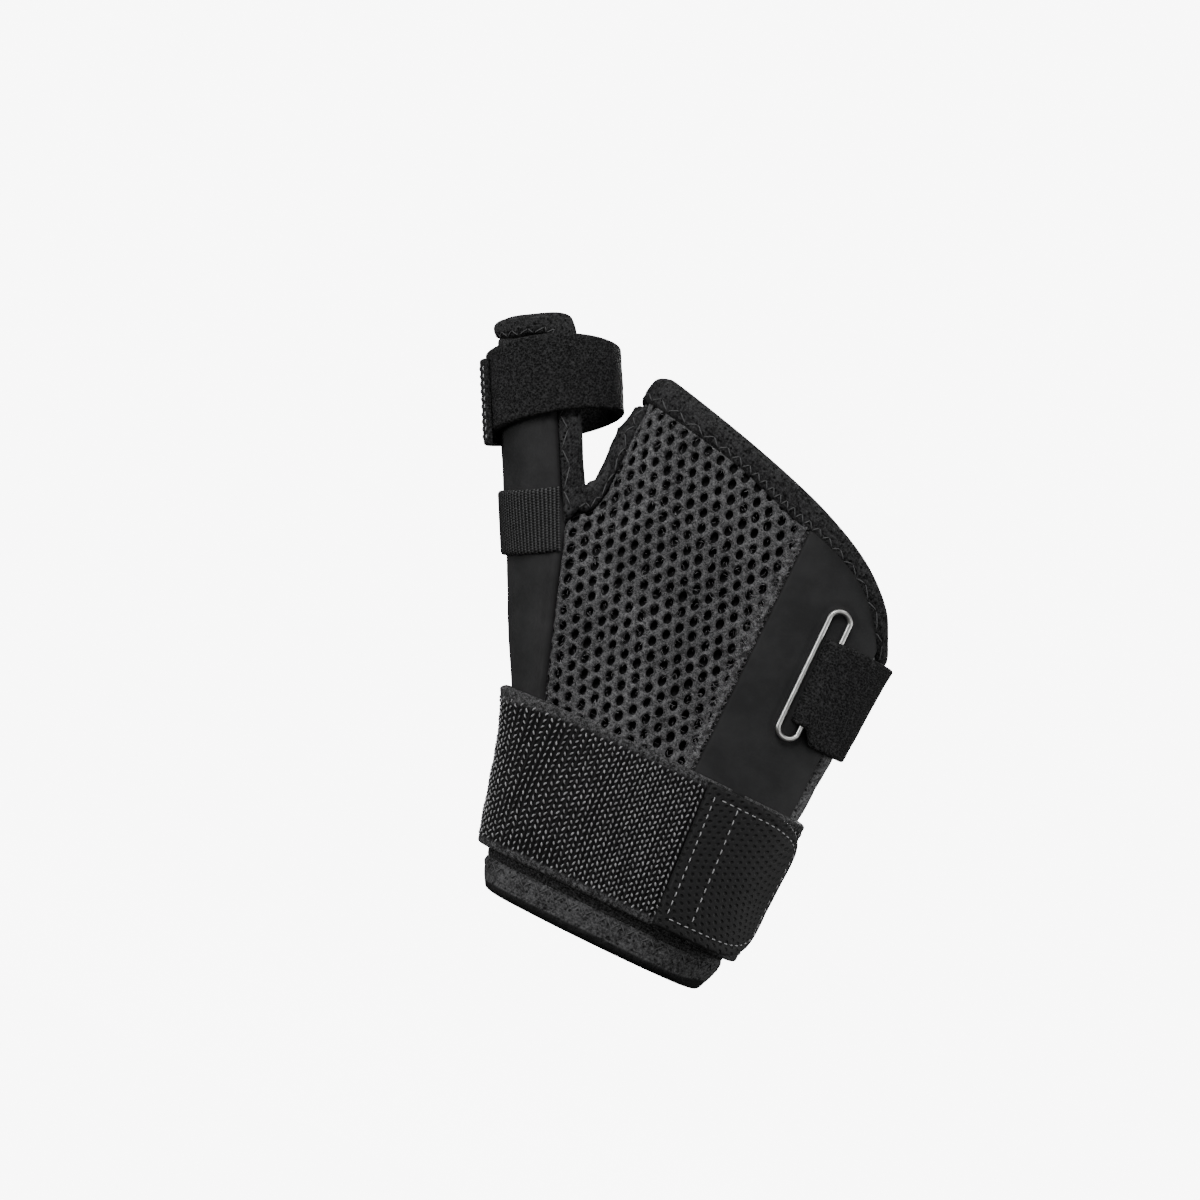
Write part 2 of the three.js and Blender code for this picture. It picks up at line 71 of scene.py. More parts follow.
WEB_BACK, WEB_PALM = 172, 188
THUMB_TURNS, THUMB_TOP = (84, 260), 128.4
RIB_TURNS, RIB_STATIONS, RIB_PITCH = (87, 260), (73.3, 89.7), 0.86
END_TURNS, END_STATIONS = (158, 215), (101, 123)
WEAVE_PITCH, FLOAT_PITCH = 1.3, 1.62
# Where the painted shade on the wrist hem's turned-under lower edge begins, in millimetres down from
# its top.
LIP_SHADE_START = 6.6

# Sections of the worn form: the body's by height, and the thumb's along its own axis.
BODY = {
    "z": (-40, -27, -17, 0, 20, 40, 60, 80, 97, 115),
    "left": (-25, -25.5, -30, -34, -37, -43, -45.5, -45, -44.5, -41),
    "right": (28, 28.5, 32, 32, 33, 34.5, 35.5, 37, 38, 38),
    "depth": (21.5, 21.5, 22, 22.5, 22, 21, 20, 18.5, 17.5, 16.5),
}
THUMB = {
    "s": (0, 20, 36, 50, 66, 110, 140),
    "radius": (6, 7.4, 9.4, 11.2, 11.8, 11.8, 11.2),
}
# Seams and edges on the body, as x or turn against height.
THUMB_SEAM = {"z": (20, 40, 58, 66), "x": (-33.3, -40.5, -47, -49.8)}
MESH_LEFT = {
    "z": (20, 40, 58, 64, 67, 70, 75, 90, 101),
    "x": (-33.3, -40.5, -47, -49.2, -48, -44.8, -43.5, -42.9, -42.2),
}
FINGER_EDGE = {
    "x": (-45, -30, -15, 0, 10, 20, 27, 32, 36),
    "inner": (100.8, 98.2, 95, 90, 87.8, 83.6, 78, 71, 63),
    "edge": (109.5, 106, 102.3, 98, 94.4, 89.6, 84.6, 79, 70),
}
PALM_EDGE = {
    "turn": (186, 230, 280, 336),
    "inner": (99, 90, 78, 64),
    "edge": (107.5, 98, 86, 71),
}
WEB = {
    "step": (0, 1, 2, 3, 4, 5),
    "edge_x": (-50.4, -49.6, -49.2, -48.8, -48.2, -47.2),
    "edge_z": (74.4, 75.2, 78, 84, 91, 94.6),
    "inner_x": (-51, -46.4, -44.2, -43.6, -43.2, -42.9),
    "inner_z": (68.2, 68.9, 73.5, 84, 93, 99.8),
}
THUMB_HEM = {
    "step": (0, 1, 2, 3, 4, 5, 6, 7, 8, 9, 10, 11, 12),
    "edge": (53, 53, 53, 55, 71, 130, 173, 216, 262, 284, 292, 292, 292),
    "edge_s": (85.5, 105, 121, 129.6, 133, 133.6, 132.6, 133.6, 133.4, 130, 123, 105, 92),
    "inner": (87, 87, 87, 91, 99, 140, 173, 206, 247, 256, 259, 259, 261),
    "inner_s": (79.5, 105, 118, 124, 127.8, 127.5, 127.5, 127.5, 127.8, 124, 118, 105, 89),
}
# The lattice of the open mesh: the two steps from hole to hole, and where its faces lie.
CELL_ACROSS, CELL_UP, CELL_START = (-3.74, 0.66), (-2.36, -2.96), (-1.2, 20)
CELL_MARGIN = 2.3
MESH_FOOT, MESH_TOP = 0.3, 2.3
# Where the zigzag runs on a binding, as shares of its width.
ZIGZAG_LOW, ZIGZAG_MIDDLE, ZIGZAG_HIGH = 0.1, 0.24, 0.34
SLOT_X, SLOT_LOW, SLOT_HIGH, SLOT_HALF, WIRE = 21.5, 39.4, 75.2, 3.2, 0.65
LOOP = {"across": -13.9, "half_across": 15.6, "half_deep": 15, "width": 20.6,
        "station": 115.6, "tilt": 3, "skew": 1.8, "fall": 3.6}
TAB_LEFT, TAB_SLANT, TAB_LOW, TAB_HIGH = 11, 0.06, -15.6, 22.2
TAB_RIGHT, TAB_ROUND, TAB_POWER = 5, 30, 2.8
PALM_LOW, PALM_HIGH, PALM_SLOT_LOW, PALM_SLOT_HIGH = 40.8, 67.6, 44.5, 67.2
PALM_START, PALM_FLAT, PALM_END, PALM_MIDDLE = 20.5, 27, -100, 54


def along(table, key, column, place):
    """Smooth value of a table's column at places along its key."""
    x, y = np.array(table[key], float), np.array(table[column], float)
    slope = np.empty_like(y)
    slope[1:-1] = (y[2:] - y[:-2]) / (x[2:] - x[:-2])
    slope[0] = (y[1] - y[0]) / (x[1] - x[0])
    slope[-1] = (y[-1] - y[-2]) / (x[-1] - x[-2])
    p = np.clip(place, x[0], x[-1])
    i = np.clip(np.searchsorted(x, p, side="right") - 1, 0, len(x) - 2)
    span = x[i + 1] - x[i]
    t, rise = (p - x[i]) / span, y[i + 1] - y[i]
    m0, m1 = slope[i] * span, slope[i + 1] * span
    return y[i] + t * (m0 + t * (3 * rise - 2 * m0 - m1 + t * (m0 + m1 - 2 * rise)))


def section(z):
    return tuple(along(BODY, "z", column, z) for column in ("left", "right", "depth"))


def form_field(x, y, z, cut=None):
    """Roughly the distance outside the form that the splint is shaped on."""
    left, right, depth = cut or section(z)
    dx = x - (left + right) / 2
    a, b = np.abs(dx) / ((right - left) / 2), np.abs(y) / depth
    reach = np.hypot(dx, y)
    power = (a**SQUARENESS + b**SQUARENESS) ** (1 / SQUARENESS)
    body = reach - reach / np.maximum(power, 1e-6)
    ox, oz = x - FOOT_X, z - FOOT_Z
    station = oz * math.cos(LEAN) - ox * math.sin(LEAN)
    across = ox * math.cos(LEAN) + oz * math.sin(LEAN)
    thumb = np.hypot(across, y) - along(THUMB, "s", "radius", station)
    h = np.maximum(BLEND - np.abs(body - thumb), 0) / BLEND
    return np.minimum(body, thumb) - h * h * BLEND / 4


def body_axis(z):
    return (along(BODY, "z", "left", z) + along(BODY, "z", "right", z)) / 2


def thumb_axis(z):
    return FOOT_X - (z - FOOT_Z) * math.tan(LEAN)


def form_point(axis, turn, z):
    """Points of the form seen from an axis. Turn 0 is the side away from the thumb, 90 the back."""
    turn, z = np.broadcast_arrays(np.asarray(turn, float), np.asarray(z, float))
    shape = turn.shape
    turn, z = turn.ravel(), z.ravel()
    dx, dy = np.cos(np.radians(turn)), -np.sin(np.radians(turn))
    x0, cut, step = axis(z), section(z), 1.5
    low, busy = np.zeros(len(z)), np.ones(len(z), bool)
    for _ in range(60):
        far = low + step
        inside = form_field(x0 + dx * far, dy * far, z, cut) < 0
        busy &= inside
        if not busy.any():
            break
        low = np.where(busy, far, low)
    high = low + step
    for _ in range(18):
        middle = (low + high) / 2
        inside = form_field(x0 + dx * middle, dy * middle, z, cut) < 0
        low, high = np.where(inside, middle, low), np.where(inside, high, middle)
    return np.stack([x0 + dx * low, dy * low, z], -1).reshape(*shape, 3)


def outward(p):
    """Unit vectors out of the form."""
    x, y, z = p[..., 0], p[..., 1], p[..., 2]
    e = 0.25
    n = np.stack([
        form_field(x + e, y, z) - form_field(x - e, y, z),
        form_field(x, y + e, z) - form_field(x, y - e, z),
        form_field(x, y, z + e) - form_field(x, y, z - e),
    ], -1)
    return unit(n)


def turn_at(axis, x, z, palm=False):
    """The turn at which the form has a given x at a height."""
    x, z = np.broadcast_arrays(np.asarray(x, float), np.asarray(z, float))
    low, high = np.full(x.shape, 2.0), np.full(x.shape, 178.0)
    for _ in range(16):
        middle = (low + high) / 2
        before = form_point(axis, middle, z)[..., 0] > x
        low, high = np.where(before, middle, low), np.where(before, high, middle)
    return 360 - low if palm else low


def turn_line(axis, line, z, palm=False):
    """turn_at along a line given as x for each height, worked out on a few heights."""
    some = np.linspace(np.min(z), np.max(z), 90)
    return np.interp(z, some, turn_at(axis, line(some), some, palm))


def thumb_height(station, turn):
    side = along(THUMB, "s", "radius", station) / math.cos(LEAN)
    tilt = math.sin(LEAN) * math.cos(LEAN) * side * np.cos(np.radians(turn))
    return FOOT_Z + station * math.cos(LEAN) + tilt


def height_on(line, turn):
    """Height of a line given by x, at a turn about the body's axis."""
    z = np.full(np.shape(turn), 95.0)
    for _ in range(12):
        z = z + 0.7 * (line(form_point(body_axis, turn, z)[..., 0]) - z)
    return z


def mix(a, b, t):
    return a + (b - a) * t


def smooth(t):
    t = np.clip(t, 0, 1)
    return t * t * (3 - 2 * t)


def finger_inner(x):
    return along(FINGER_EDGE, "x", "inner", x)


def finger_outer(x):
    return along(FINGER_EDGE, "x", "edge", x)


def mesh_left(z):
    return along(MESH_LEFT, "z", "x", z)


def unit(vectors):
    return vectors / np.linalg.norm(vectors, axis=-1, keepdims=True)


def bump(distance, width):
    """A soft ridge of height 1 where the distance is 0."""
    return np.exp(-(distance / width) ** 2)


def ripple(p, scale, seed):
    """Soft uneven relief between -1 and 1, the same on every run."""
    rng = np.random.default_rng(seed)
    total = np.zeros(p.shape[:-1])
    for octave in range(4):
        for _ in range(4):
            way = rng.normal(size=3)
            way *= 2 * math.pi * 2**octave / (scale * np.linalg.norm(way))
            total += np.sin(p @ way + rng.uniform(0, 6.28)) / (4 * 1.7**octave)
    return np.clip(total, -1, 1)


class Cloth:
    """A sheet on the form: a grid of base points, their normals, and lengths along both ways."""

    def __init__(self, points, us, vs, normals=None, closed=False):
        self.p, self.us, self.vs = points, us, vs
        self.n = outward(points) if normals is None else normals
        self.closed = closed
        self.along_u = self._lengths(0)
        self.along_v = self._lengths(1)
        self.outer = points
        width = self.along_v[:, -1].mean()
        self.flat = (width * MM, self.along_u[-1].mean() * MM)
        a = np.diff(points, axis=0)[:, :-1]
        b = np.diff(points, axis=1)[:-1]
        self.area = np.linalg.norm(np.cross(a, b), axis=-1).sum() * MM * MM

    def _lengths(self, way):
        step = np.linalg.norm(np.diff(self.p, axis=way), axis=-1)
        total = np.cumsum(step, axis=way)
        start = np.zeros_like(total[:1] if way == 0 else total[:, :1])
        return np.concatenate([start, total], axis=way)

    def hem(self, radius):
        """0 at the free edges rising to 1 a radius inside them."""
        round_off = np.ones(self.p.shape[:2])
        for way in "v" if self.closed else "vu":
            inside = np.clip(self.from_edge(way) / radius, 0, 1)
            round_off *= np.sqrt(np.maximum(1 - (1 - inside) ** 2, 0))
        return round_off

    def at(self, u, v):
        """Point and normal of the outer face at shares u and v of the piece."""
        rows, columns = self.p.shape[:2]
        x = np.interp(u, self.us, np.arange(rows))
        y = np.interp(v, self.vs, np.arange(columns))
        i, j = np.minimum(x.astype(int), rows - 2), np.minimum(y.astype(int), columns - 2)
        a, b = (x - i)[..., None], (y - j)[..., None]

        def blend(grid):
            low = grid[i, j] * (1 - b) + grid[i, j + 1] * b
            return low * (1 - a) + (grid[i + 1, j] * (1 - b) + grid[i + 1, j + 1] * b) * a

        return blend(self.outer), unit(blend(self.n))

    def from_edge(self, *ways):
        """Millimetres to the nearest edge, along the ways that are named."""
        sides = {"u": (self.along_u, self.along_u[-1:]), "v": (self.along_v, self.along_v[:, -1:])}
        return np.minimum.reduce([np.minimum(run, whole - run)
                                  for run, whole in (sides[way] for way in ways)])


def graded(count, length, edge=1.6):
    """Shares 0 to 1, closer together near both ends so that hems turn round."""
    near = np.array([0, 0.06, 0.18, 0.36, 0.6, 0.85]) * edge / length
    middle = np.linspace(edge / length, 1 - edge / length, max(count - 10, 3))
    return np.concatenate([near, middle, 1 - near[::-1]])


def on_form(axis, us, vs, place):
    u, v = np.meshgrid(us, vs, indexing="ij")
    turn, z = place(u, v)
    return Cloth(form_point(axis, turn, z), us, vs)


def link(name, data):
    obj = bpy.data.objects.new(name, data)
    bpy.context.scene.collection.objects.link(obj)
    return obj


def new_object(name, verts, faces, uvs=None, smooth_faces=True):
    """An object from points in millimetres."""
    mesh = bpy.data.meshes.new(name)
    if isinstance(faces, np.ndarray):
        faces = faces.tolist()
    mesh.from_pydata((np.asarray(verts) * MM).tolist(), [], faces)
    mesh.polygons.foreach_set("use_smooth", [smooth_faces] * len(mesh.polygons))
    if uvs is not None:
        layer = mesh.uv_layers.new(name="cloth")
        loops = np.empty(len(mesh.loops), int)
        mesh.loops.foreach_get("vertex_index", loops)
        layer.data.foreach_set("uv", np.asarray(uvs, float)[loops].ravel())
    mesh.update()
    return link(name, mesh)


def wall(name, cloth, floor, thickness, relief=0.0, hem=None):
    """A closed sheet: an inner face at the floor and an outer face with its hems and relief."""
    hem = cloth.hem(min(thickness, 1.6)) if hem is None else hem
    floor = np.broadcast_to(floor, cloth.p.shape[:2])
    lift = floor + EDGE_WALL + (thickness - EDGE_WALL) * hem + relief * hem
    inner = cloth.p + cloth.n * floor[..., None]
    cloth.outer = cloth.p + cloth.n * lift[..., None]
    nu, nv = cloth.p.shape[:2]
    number = np.arange(nu * nv).reshape(nu, nv)
    if cloth.closed:
        number[-1] = number[0]
    total = nu * nv
    a, b = number[:-1, :-1].ravel(), number[:-1, 1:].ravel()
    c, d = number[1:, 1:].ravel(), number[1:, :-1].ravel()
    faces = [np.stack([d, c, b, a], 1) + total, np.stack([a, b, c, d], 1)]
    rims = [number[:, 0], number[::-1, -1]]
    if not cloth.closed:
        rims += [number[0, ::-1], number[-1]]
    for rim in rims:
        faces.append(np.stack([rim[:-1], rim[1:], rim[1:] + total, rim[:-1] + total], 1))
    faces = np.concatenate(faces)[:, ::-1]
    uv = np.stack([cloth.along_u, cloth.along_v], -1).reshape(-1, 2)
    verts = np.concatenate([inner.reshape(-1, 3), cloth.outer.reshape(-1, 3)])
    used = np.unique(faces)
    renumber = np.zeros(2 * total, int)
    renumber[used] = np.arange(len(used))
    return new_object(name, verts[used], renumber[faces], np.concatenate([uv, uv])[used])


def tidy_mesh(obj):
    """Merges points that were squeezed together at an edge and drops faces without area."""
    work = bmesh.new()
    work.from_mesh(obj.data)
    bmesh.ops.remove_doubles(work, verts=work.verts, dist=MERGE * MM)
    bmesh.ops.dissolve_degenerate(work, dist=SLIVER * MM, edges=work.edges)
    work.to_mesh(obj.data)
    work.free()


def dress(obj, material, nodes=()):
    obj.data.materials.clear()
    obj.data.materials.append(finish_of(material))
    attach(obj, "root")
    if nodes:
        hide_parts(*nodes)


def declare(cloth):
    width, length = (max(side, LEAST_FLAT * MM) for side in cloth.flat)
    min(cloth.area, width * length)


def sheet(obj, cloth, material, node):
    dress(obj, material, [node])
    declare(cloth)


def thread(name, paths, radius, sides=6, rise=0.12):
    """Stitches: one short tube for each path of points and normals, its ends sunk in the cloth."""
    verts, faces = [], []
    for points, normals in paths:
        count = len(points)
        bow = np.sin(np.linspace(0, math.pi, count)) ** 0.5
        centre = points + normals * (-0.9 * radius + (radius + rise) * bow)[:, None]
        ahead = unit(np.gradient(centre, axis=0))
        side = unit(np.cross(ahead, normals))
        up = np.cross(side, ahead)
        start = len(verts)
        fat = radius * (0.55 + 0.45 * np.sin(np.linspace(0, math.pi, count)))
        for k in range(count):
            for s in range(sides):
                a = 2 * math.pi * s / sides
                verts.append(centre[k] + fat[k] * (math.cos(a) * side[k] + math.sin(a) * up[k]))
        for k in range(count - 1):
            for s in range(sides):
                t = (s + 1) % sides
                base = start + k * sides
                faces.append([base + s, base + t, base + sides + t, base + sides + s])
        faces.append(list(range(start + sides - 1, start - 1, -1)))
        end = start + (count - 1) * sides
        faces.append(list(range(end, end + sides)))
    return new_object(name, verts, faces)


def sew(name, paths, material="stitching_thread"):
    """Stitches in their finish."""
    radius = bpy.context.scene.splint_sizes.thread / MM / 2
    dress(thread(name, paths, radius), material)


def zigzag(cloth, pitch):
    """A zigzag of stitches that runs along u."""
    start, stop = 0.01, 0.99
    count = max(int((stop - start) * cloth.flat[1] / MM / pitch), 2)
    u, t = np.linspace(start, stop, count + 1), np.linspace(0, 1, 5)
    v = [ZIGZAG_LOW if k % 2 else ZIGZAG_HIGH for k in range(count + 1)]
    return [cloth.at(mix(u[k], u[k + 1], t), mix(v[k], v[k + 1], t)) for k in range(count)]


def running(cloth, corners, pitch, gap):
    """Running stitches along a line of places given as shares of a cloth's grid."""
    corners = np.array(corners, float)
    points = cloth.at(corners[:, 0], corners[:, 1])[0]
    step = np.concatenate([[0], np.cumsum(np.linalg.norm(np.diff(points, axis=0), axis=1))])
    paths = []
    for begin in np.arange(0.3 * pitch, step[-1] - 0.6 * pitch, pitch):
        s = np.linspace(begin, begin + pitch * (1 - gap), 5)
        u, v = (np.interp(s, step, corners[:, k]) for k in (0, 1))
        paths.append(cloth.at(u, v))
    return paths


def feed(tree, socket, value):
    """Links a term to a socket, or sets the socket to a number or a colour."""
    if isinstance(value, Term):
        tree.links.new(value.socket, socket)
    else:
        socket.default_value = (*value, 1) if isinstance(value, tuple) else value


def math_method(operation):
    """A method that puts a Math node between two terms."""
    return lambda self, other: self.math(operation, other)


class Term:
    """A shader socket that Python's operators work on, through Math nodes."""

    def __init__(self, tree, socket):
        self.tree, self.socket = tree, socket

    def math(self, operation, *others):
        node = self.tree.nodes.new("ShaderNodeMath")
        node.operation = operation
        for k, value in enumerate((self, *others)):
            feed(self.tree, node.inputs[k], value)
        return Term(self.tree, node.outputs[0])

    __add__ = __radd__ = math_method("ADD")
    __mul__ = __rmul__ = math_method("MULTIPLY")
    __sub__ = math_method("SUBTRACT")
    __truediv__ = math_method("DIVIDE")
    __pow__ = math_method("POWER")

    def __rsub__(self, number):
        node = self.tree.nodes.new("ShaderNodeValue")
        node.outputs[0].default_value = number
        return Term(self.tree, node.outputs[0]) - self

    def fract(self):
        return self.math("FRACT")

    def floor(self):
        return self.math("FLOOR")

    def wave(self, period):
        """0 to 1 and back once in each period."""
        return self.math("MULTIPLY", 2 * math.pi / period).math("SINE") * 0.5 + 0.5

    def step(self, low, high):
        node = self.tree.nodes.new("ShaderNodeMapRange")
        node.interpolation_type = "SMOOTHSTEP"
        for socket, value in (("Value", self), ("From Min", low), ("From Max", high)):
            feed(self.tree, node.inputs[socket], value)
        return Term(self.tree, node.outputs[0])


class Finish:
    """A material under construction."""

    def __init__(self, name, **constants):
        self.material = bpy.data.materials.new(name)
        self.material.use_nodes = True
        self.tree = self.material.node_tree
        self.shader = self.tree.nodes["Principled BSDF"]
        for socket, value in constants.items():
            feed(self.tree, self.shader.inputs[socket.replace("_", " ")], value)

    def node(self, kind, settings=None, output=0, **values):
        node = self.tree.nodes.new(kind)
        for key, value in (settings or {}).items():
            setattr(node, key, value)
        for key, value in values.items():
            feed(self.tree, node.inputs[key.replace("_", " ")], value)
        return Term(self.tree, node.outputs[output])

    def place(self):
        return self.node("ShaderNodeTexCoord", output="Object")

    def cloth(self):
        """Millimetres along and across the piece of cloth."""
        uv = self.node("ShaderNodeUVMap", {"uv_map": "cloth"})
        split = self.tree.nodes.new("ShaderNodeSeparateXYZ")
        feed(self.tree, split.inputs[0], uv)
        return [Term(self.tree, split.outputs[k]) for k in (0, 1)]

    def noise(self, size, detail=3.0, rough=0.6, vector=None):
        """Noise whose lumps are about a size in millimetres."""
        scale = 1 / size if vector else 1 / (size * MM)
        return self.node("ShaderNodeTexNoise", Vector=vector or self.place(), Scale=scale,
                         Detail=detail, Roughness=rough)

    def cells(self, size):
        return self.node("ShaderNodeTexVoronoi", Vector=self.place(), Scale=1 / (size * MM))

    def blend(self, factor, a, b):
        """Mixes two colours by a factor."""
        node = self.tree.nodes.new("ShaderNodeMix")
        node.data_type = "RGBA"
        for k, value in ((0, factor), (6, a), (7, b)):
            feed(self.tree, node.inputs[k], value)
        return Term(self.tree, node.outputs[2])

    def put(self, height=None, strength=0.6, distance=0.3, **sockets):
        for socket, value in sockets.items():
            feed(self.tree, self.shader.inputs[socket.replace("_", " ")], value)
        if height is not None:
            raised = self.node("ShaderNodeBump", Height=height, Strength=strength,
                               Distance=distance * MM)
            feed(self.tree, self.shader.inputs["Normal"], raised)
        return self.material


def grey(level):
    return (level, level, level * 1.02)


def satin_finish(name, tone):
    f = Finish(name, Specular_IOR_Level=0.08)
    broad, fine = f.noise(9, 3), f.noise(0.5, 4)
    colour = f.blend(broad.step(0.3, 0.7), grey(tone * 0.8), grey(tone * 1.15))
    rough = 0.56 + 0.12 * fine + 0.06 * broad
    return f.put(Base_Color=colour, Roughness=rough, height=fine + 2 * broad, strength=0.25,
                 distance=0.12)


def yarn_finish(name, tone):
    f = Finish(name, Specular_IOR_Level=0.03)
    fibre, tuft, broad = f.noise(0.35, 5, 0.75), f.noise(0.8, 3), f.noise(14, 2)
    level = (fibre * 0.65 + tuft * 0.35).step(0.4, 0.62)
    dark = f.blend(broad.step(0.3, 0.7), grey(tone * 0.2), grey(tone * 0.35))
    light = f.blend(broad.step(0.3, 0.7), grey(tone * 1.8), grey(tone * 2.6))
    return f.put(Base_Color=f.blend(level, dark, light), Roughness=0.82 + 0.15 * fibre,
                 height=fibre * 0.6 + tuft * 0.4, strength=0.9, distance=0.5)


def backing_finish(name, tone):
    f = Finish(name, Specular_IOR_Level=0.1)
    weave = f.cells(0.7)
    colour = f.blend(weave, grey(tone * 0.12), grey(tone * 0.3))
    return f.put(Base_Color=colour, Roughness=0.85 + 0.1 * weave, height=weave, strength=0.5)


def knit_finish(name, tone, shade_start=None):
    """Knit with a soft pile: mottled by its fibres, with pin holes between the tufts, and, when
    asked, painted shade along its lower edge.
    """
    f = Finish(name, Specular_IOR_Level=0.04)
    u, v = f.cloth()
    fibre, tuft, broad = f.noise(0.3, 5, 0.8), f.noise(1.0, 4, 0.7), f.noise(7, 3)
    holes = f.cells(1.5).step(0.1, 0.32)
    wales = (u + tuft * 1.5).wave(0.95) * (v + fibre).wave(0.8)
    level = (fibre * 0.5 + tuft * 0.5 + wales * 0.06 + broad * 0.2).step(0.48, 0.76) * holes
    # Painted shade: the colour is darkened below this depth, where the binding rolls under.
    if shade_start:
        level = level * (1 - 0.9 * (v + tuft).step(shade_start, shade_start + 0.8))
    colour = f.blend(level, grey(tone * 0.25), grey(tone * 3.0))
    return f.put(Base_Color=colour, Roughness=0.84 + 0.14 * fibre,
                 height=wales * 0.1 + holes * 0.4 + fibre * 0.6 + tuft, strength=0.8,
                 distance=0.4)


def lip_shade_finish(name, tone):
    """The same knit with painted shade along its lower, turned-under edge."""
    return knit_finish(name, tone, LIP_SHADE_START)


def loop_finish(name, tone):
    """Brushed loop pile, short streaks along the strap."""
    f = Finish(name, Specular_IOR_Level=0.05)
    u, v = f.cloth()
    streak = f.noise(1.0, 4, 0.7, f.node("ShaderNodeCombineXYZ", X=u * 0.9, Y=v * 2.6))
    pile = f.cells(0.55)
    fibre = f.noise(0.22, 4, 0.8)
    level = (streak * 0.45 + fibre * 0.45 + pile * 0.25).step(0.46, 0.74)
    colour = f.blend(level, grey(tone * 0.25), grey(tone * 3.0))
    return f.put(Base_Color=colour, Roughness=0.88 + 0.1 * fibre,
                 height=pile * 0.5 + streak * 0.7 + fibre * 0.4, strength=0.9, distance=0.45)


def rib_finish(name, tone):
    """Fine ribbed elastic: ribs run along the thumb."""
    f = Finish(name, Specular_IOR_Level=0.08)
    u, v = f.cloth()
    fibre = f.noise(0.3, 4, 0.7)
    rib = u.wave(RIB_PITCH)
    rung = (v + 0.35 * (u / RIB_PITCH).floor()).wave(0.7)
    level = (rib * 0.38 + rung * 0.34 + fibre * 0.75).step(0.55, 1.08)
    colour = f.blend(level, grey(tone * 0.2), grey(tone * 3.6))
    return f.put(Base_Color=colour, Roughness=0.8 + 0.15 * fibre,
                 height=rib * 0.7 + rung * 0.4 + fibre * 0.5, strength=0.8, distance=0.4)


def woven_finish(name, tone):
    """Ground of the heavy elastic: black cords, with a finer grey knit along both selvedges."""
    f = Finish(name, Specular_IOR_Level=0.1)
    u, v = f.cloth()
    fibre, tuft = f.noise(0.3, 4, 0.75), f.noise(0.9, 3)
    cord = (u - 0.2).wave(WEAVE_PITCH)
    selvedge = 1 - (v - 0.2).step(1.6, 2.6) * (1 - v.step(36.4, 37.6))
    level = (fibre * 0.6 + tuft * 0.4).step(0.42, 0.62) * selvedge
    ground = f.blend(cord * fibre, grey(tone * 0.04), grey(tone * 0.4))
    colour = f.blend(level, ground, grey(tone * 2.4))
    return f.put(Base_Color=colour, Roughness=0.75 + 0.2 * fibre,
                 height=cord * 0.4 + fibre * 0.5 + tuft * 0.4, strength=0.8, distance=0.4)


def float_finish(name, tone):
    f = Finish(name, Specular_IOR_Level=0.3)
    fibre, patch = f.noise(0.22, 4, 0.75), f.noise(2.4, 3)
    light = f.blend(patch.step(0.35, 0.68), grey(tone * 4), grey(tone * 9.5))
    return f.put(Base_Color=f.blend(fibre.step(0.3, 0.6), grey(tone * 1.2), light),
                 Roughness=0.5 + 0.25 * fibre, height=fibre, strength=0.5, distance=0.12)


def fibre_finish(name, tone):
    f = Finish(name, Specular_IOR_Level=0.2)
    fibre = f.noise(1.2, 2)
    return f.put(Base_Color=f.blend(fibre.step(0.35, 0.65), grey(tone * 0.9), grey(tone * 4.2)),
                 Roughness=0.6 + 0.2 * fibre)


def tab_finish(name, tone):
    """Matte leather-like tab with rows of small dimples."""
    f = Finish(name, Specular_IOR_Level=0.1)
    u, v = f.cloth()
    grain, broad = f.noise(0.45, 4), f.noise(6, 2)
    column = (u / 1.7).floor()
    du = (u / 1.7).fract() - 0.5
    dv = (v / 1.7 + column * 0.5).fract() - 0.5
    dimple = 1 - ((du * du + dv * dv) ** 0.5).step(0.12, 0.34)
    colour = f.blend(dimple * 0.8 + grain * 0.15, grey(tone * 1.25), grey(tone * 0.35))
    return f.put(Base_Color=colour, Roughness=0.5 + 0.2 * grain + 0.08 * broad,
                 height=grain * 0.35 - dimple * 1.2, strength=0.7, distance=0.35)


def thread_finish(name, tone):
    f = Finish(name, Specular_IOR_Level=0.4)
    twist, dirt = f.noise(0.2, 3), f.noise(3, 2)
    colour = f.blend(twist.step(0.35, 0.65), grey(tone * 0.6), grey(tone * 1.2))
    return f.put(Base_Color=f.blend(dirt * 0.4, colour, grey(tone * 0.5)),
                 Roughness=0.55 + 0.2 * twist, height=twist, strength=0.4, distance=0.1)


def dark_thread_finish(name, tone):
    f = Finish(name, Specular_IOR_Level=0.1)
    twist = f.noise(0.2, 3)
    return f.put(Base_Color=f.blend(twist, grey(tone * 0.05), grey(tone * 0.4)),
                 Roughness=0.75 + 0.2 * twist, height=twist, strength=0.4, distance=0.1)


def steel_finish(name, tone):
    f = Finish(name, Metallic=1.0)
    fine, broad = f.noise(0.3, 4), f.noise(5, 3)
    colour = f.blend(broad.step(0.35, 0.7), (tone * 0.42, tone * 0.42, tone * 0.41),
                     (tone * 0.28, tone * 0.28, tone * 0.27))
    return f.put(Base_Color=colour, Roughness=0.24 + 0.2 * fine + 0.1 * broad, height=fine,
                 strength=0.12, distance=0.08)


def paper_finish(name, tone):
    """Pale paper that glows evenly, so that the lamps leave no lighter band on it."""
    f = Finish(name, Base_Color=grey(tone * 0.05), Roughness=0.9,
               Specular_IOR_Level=0.0, Emission_Strength=9.5)
    return f.put(Emission_Color=f.blend(f.noise(60, 2), (tone,) * 3, (tone * 0.985,) * 3))


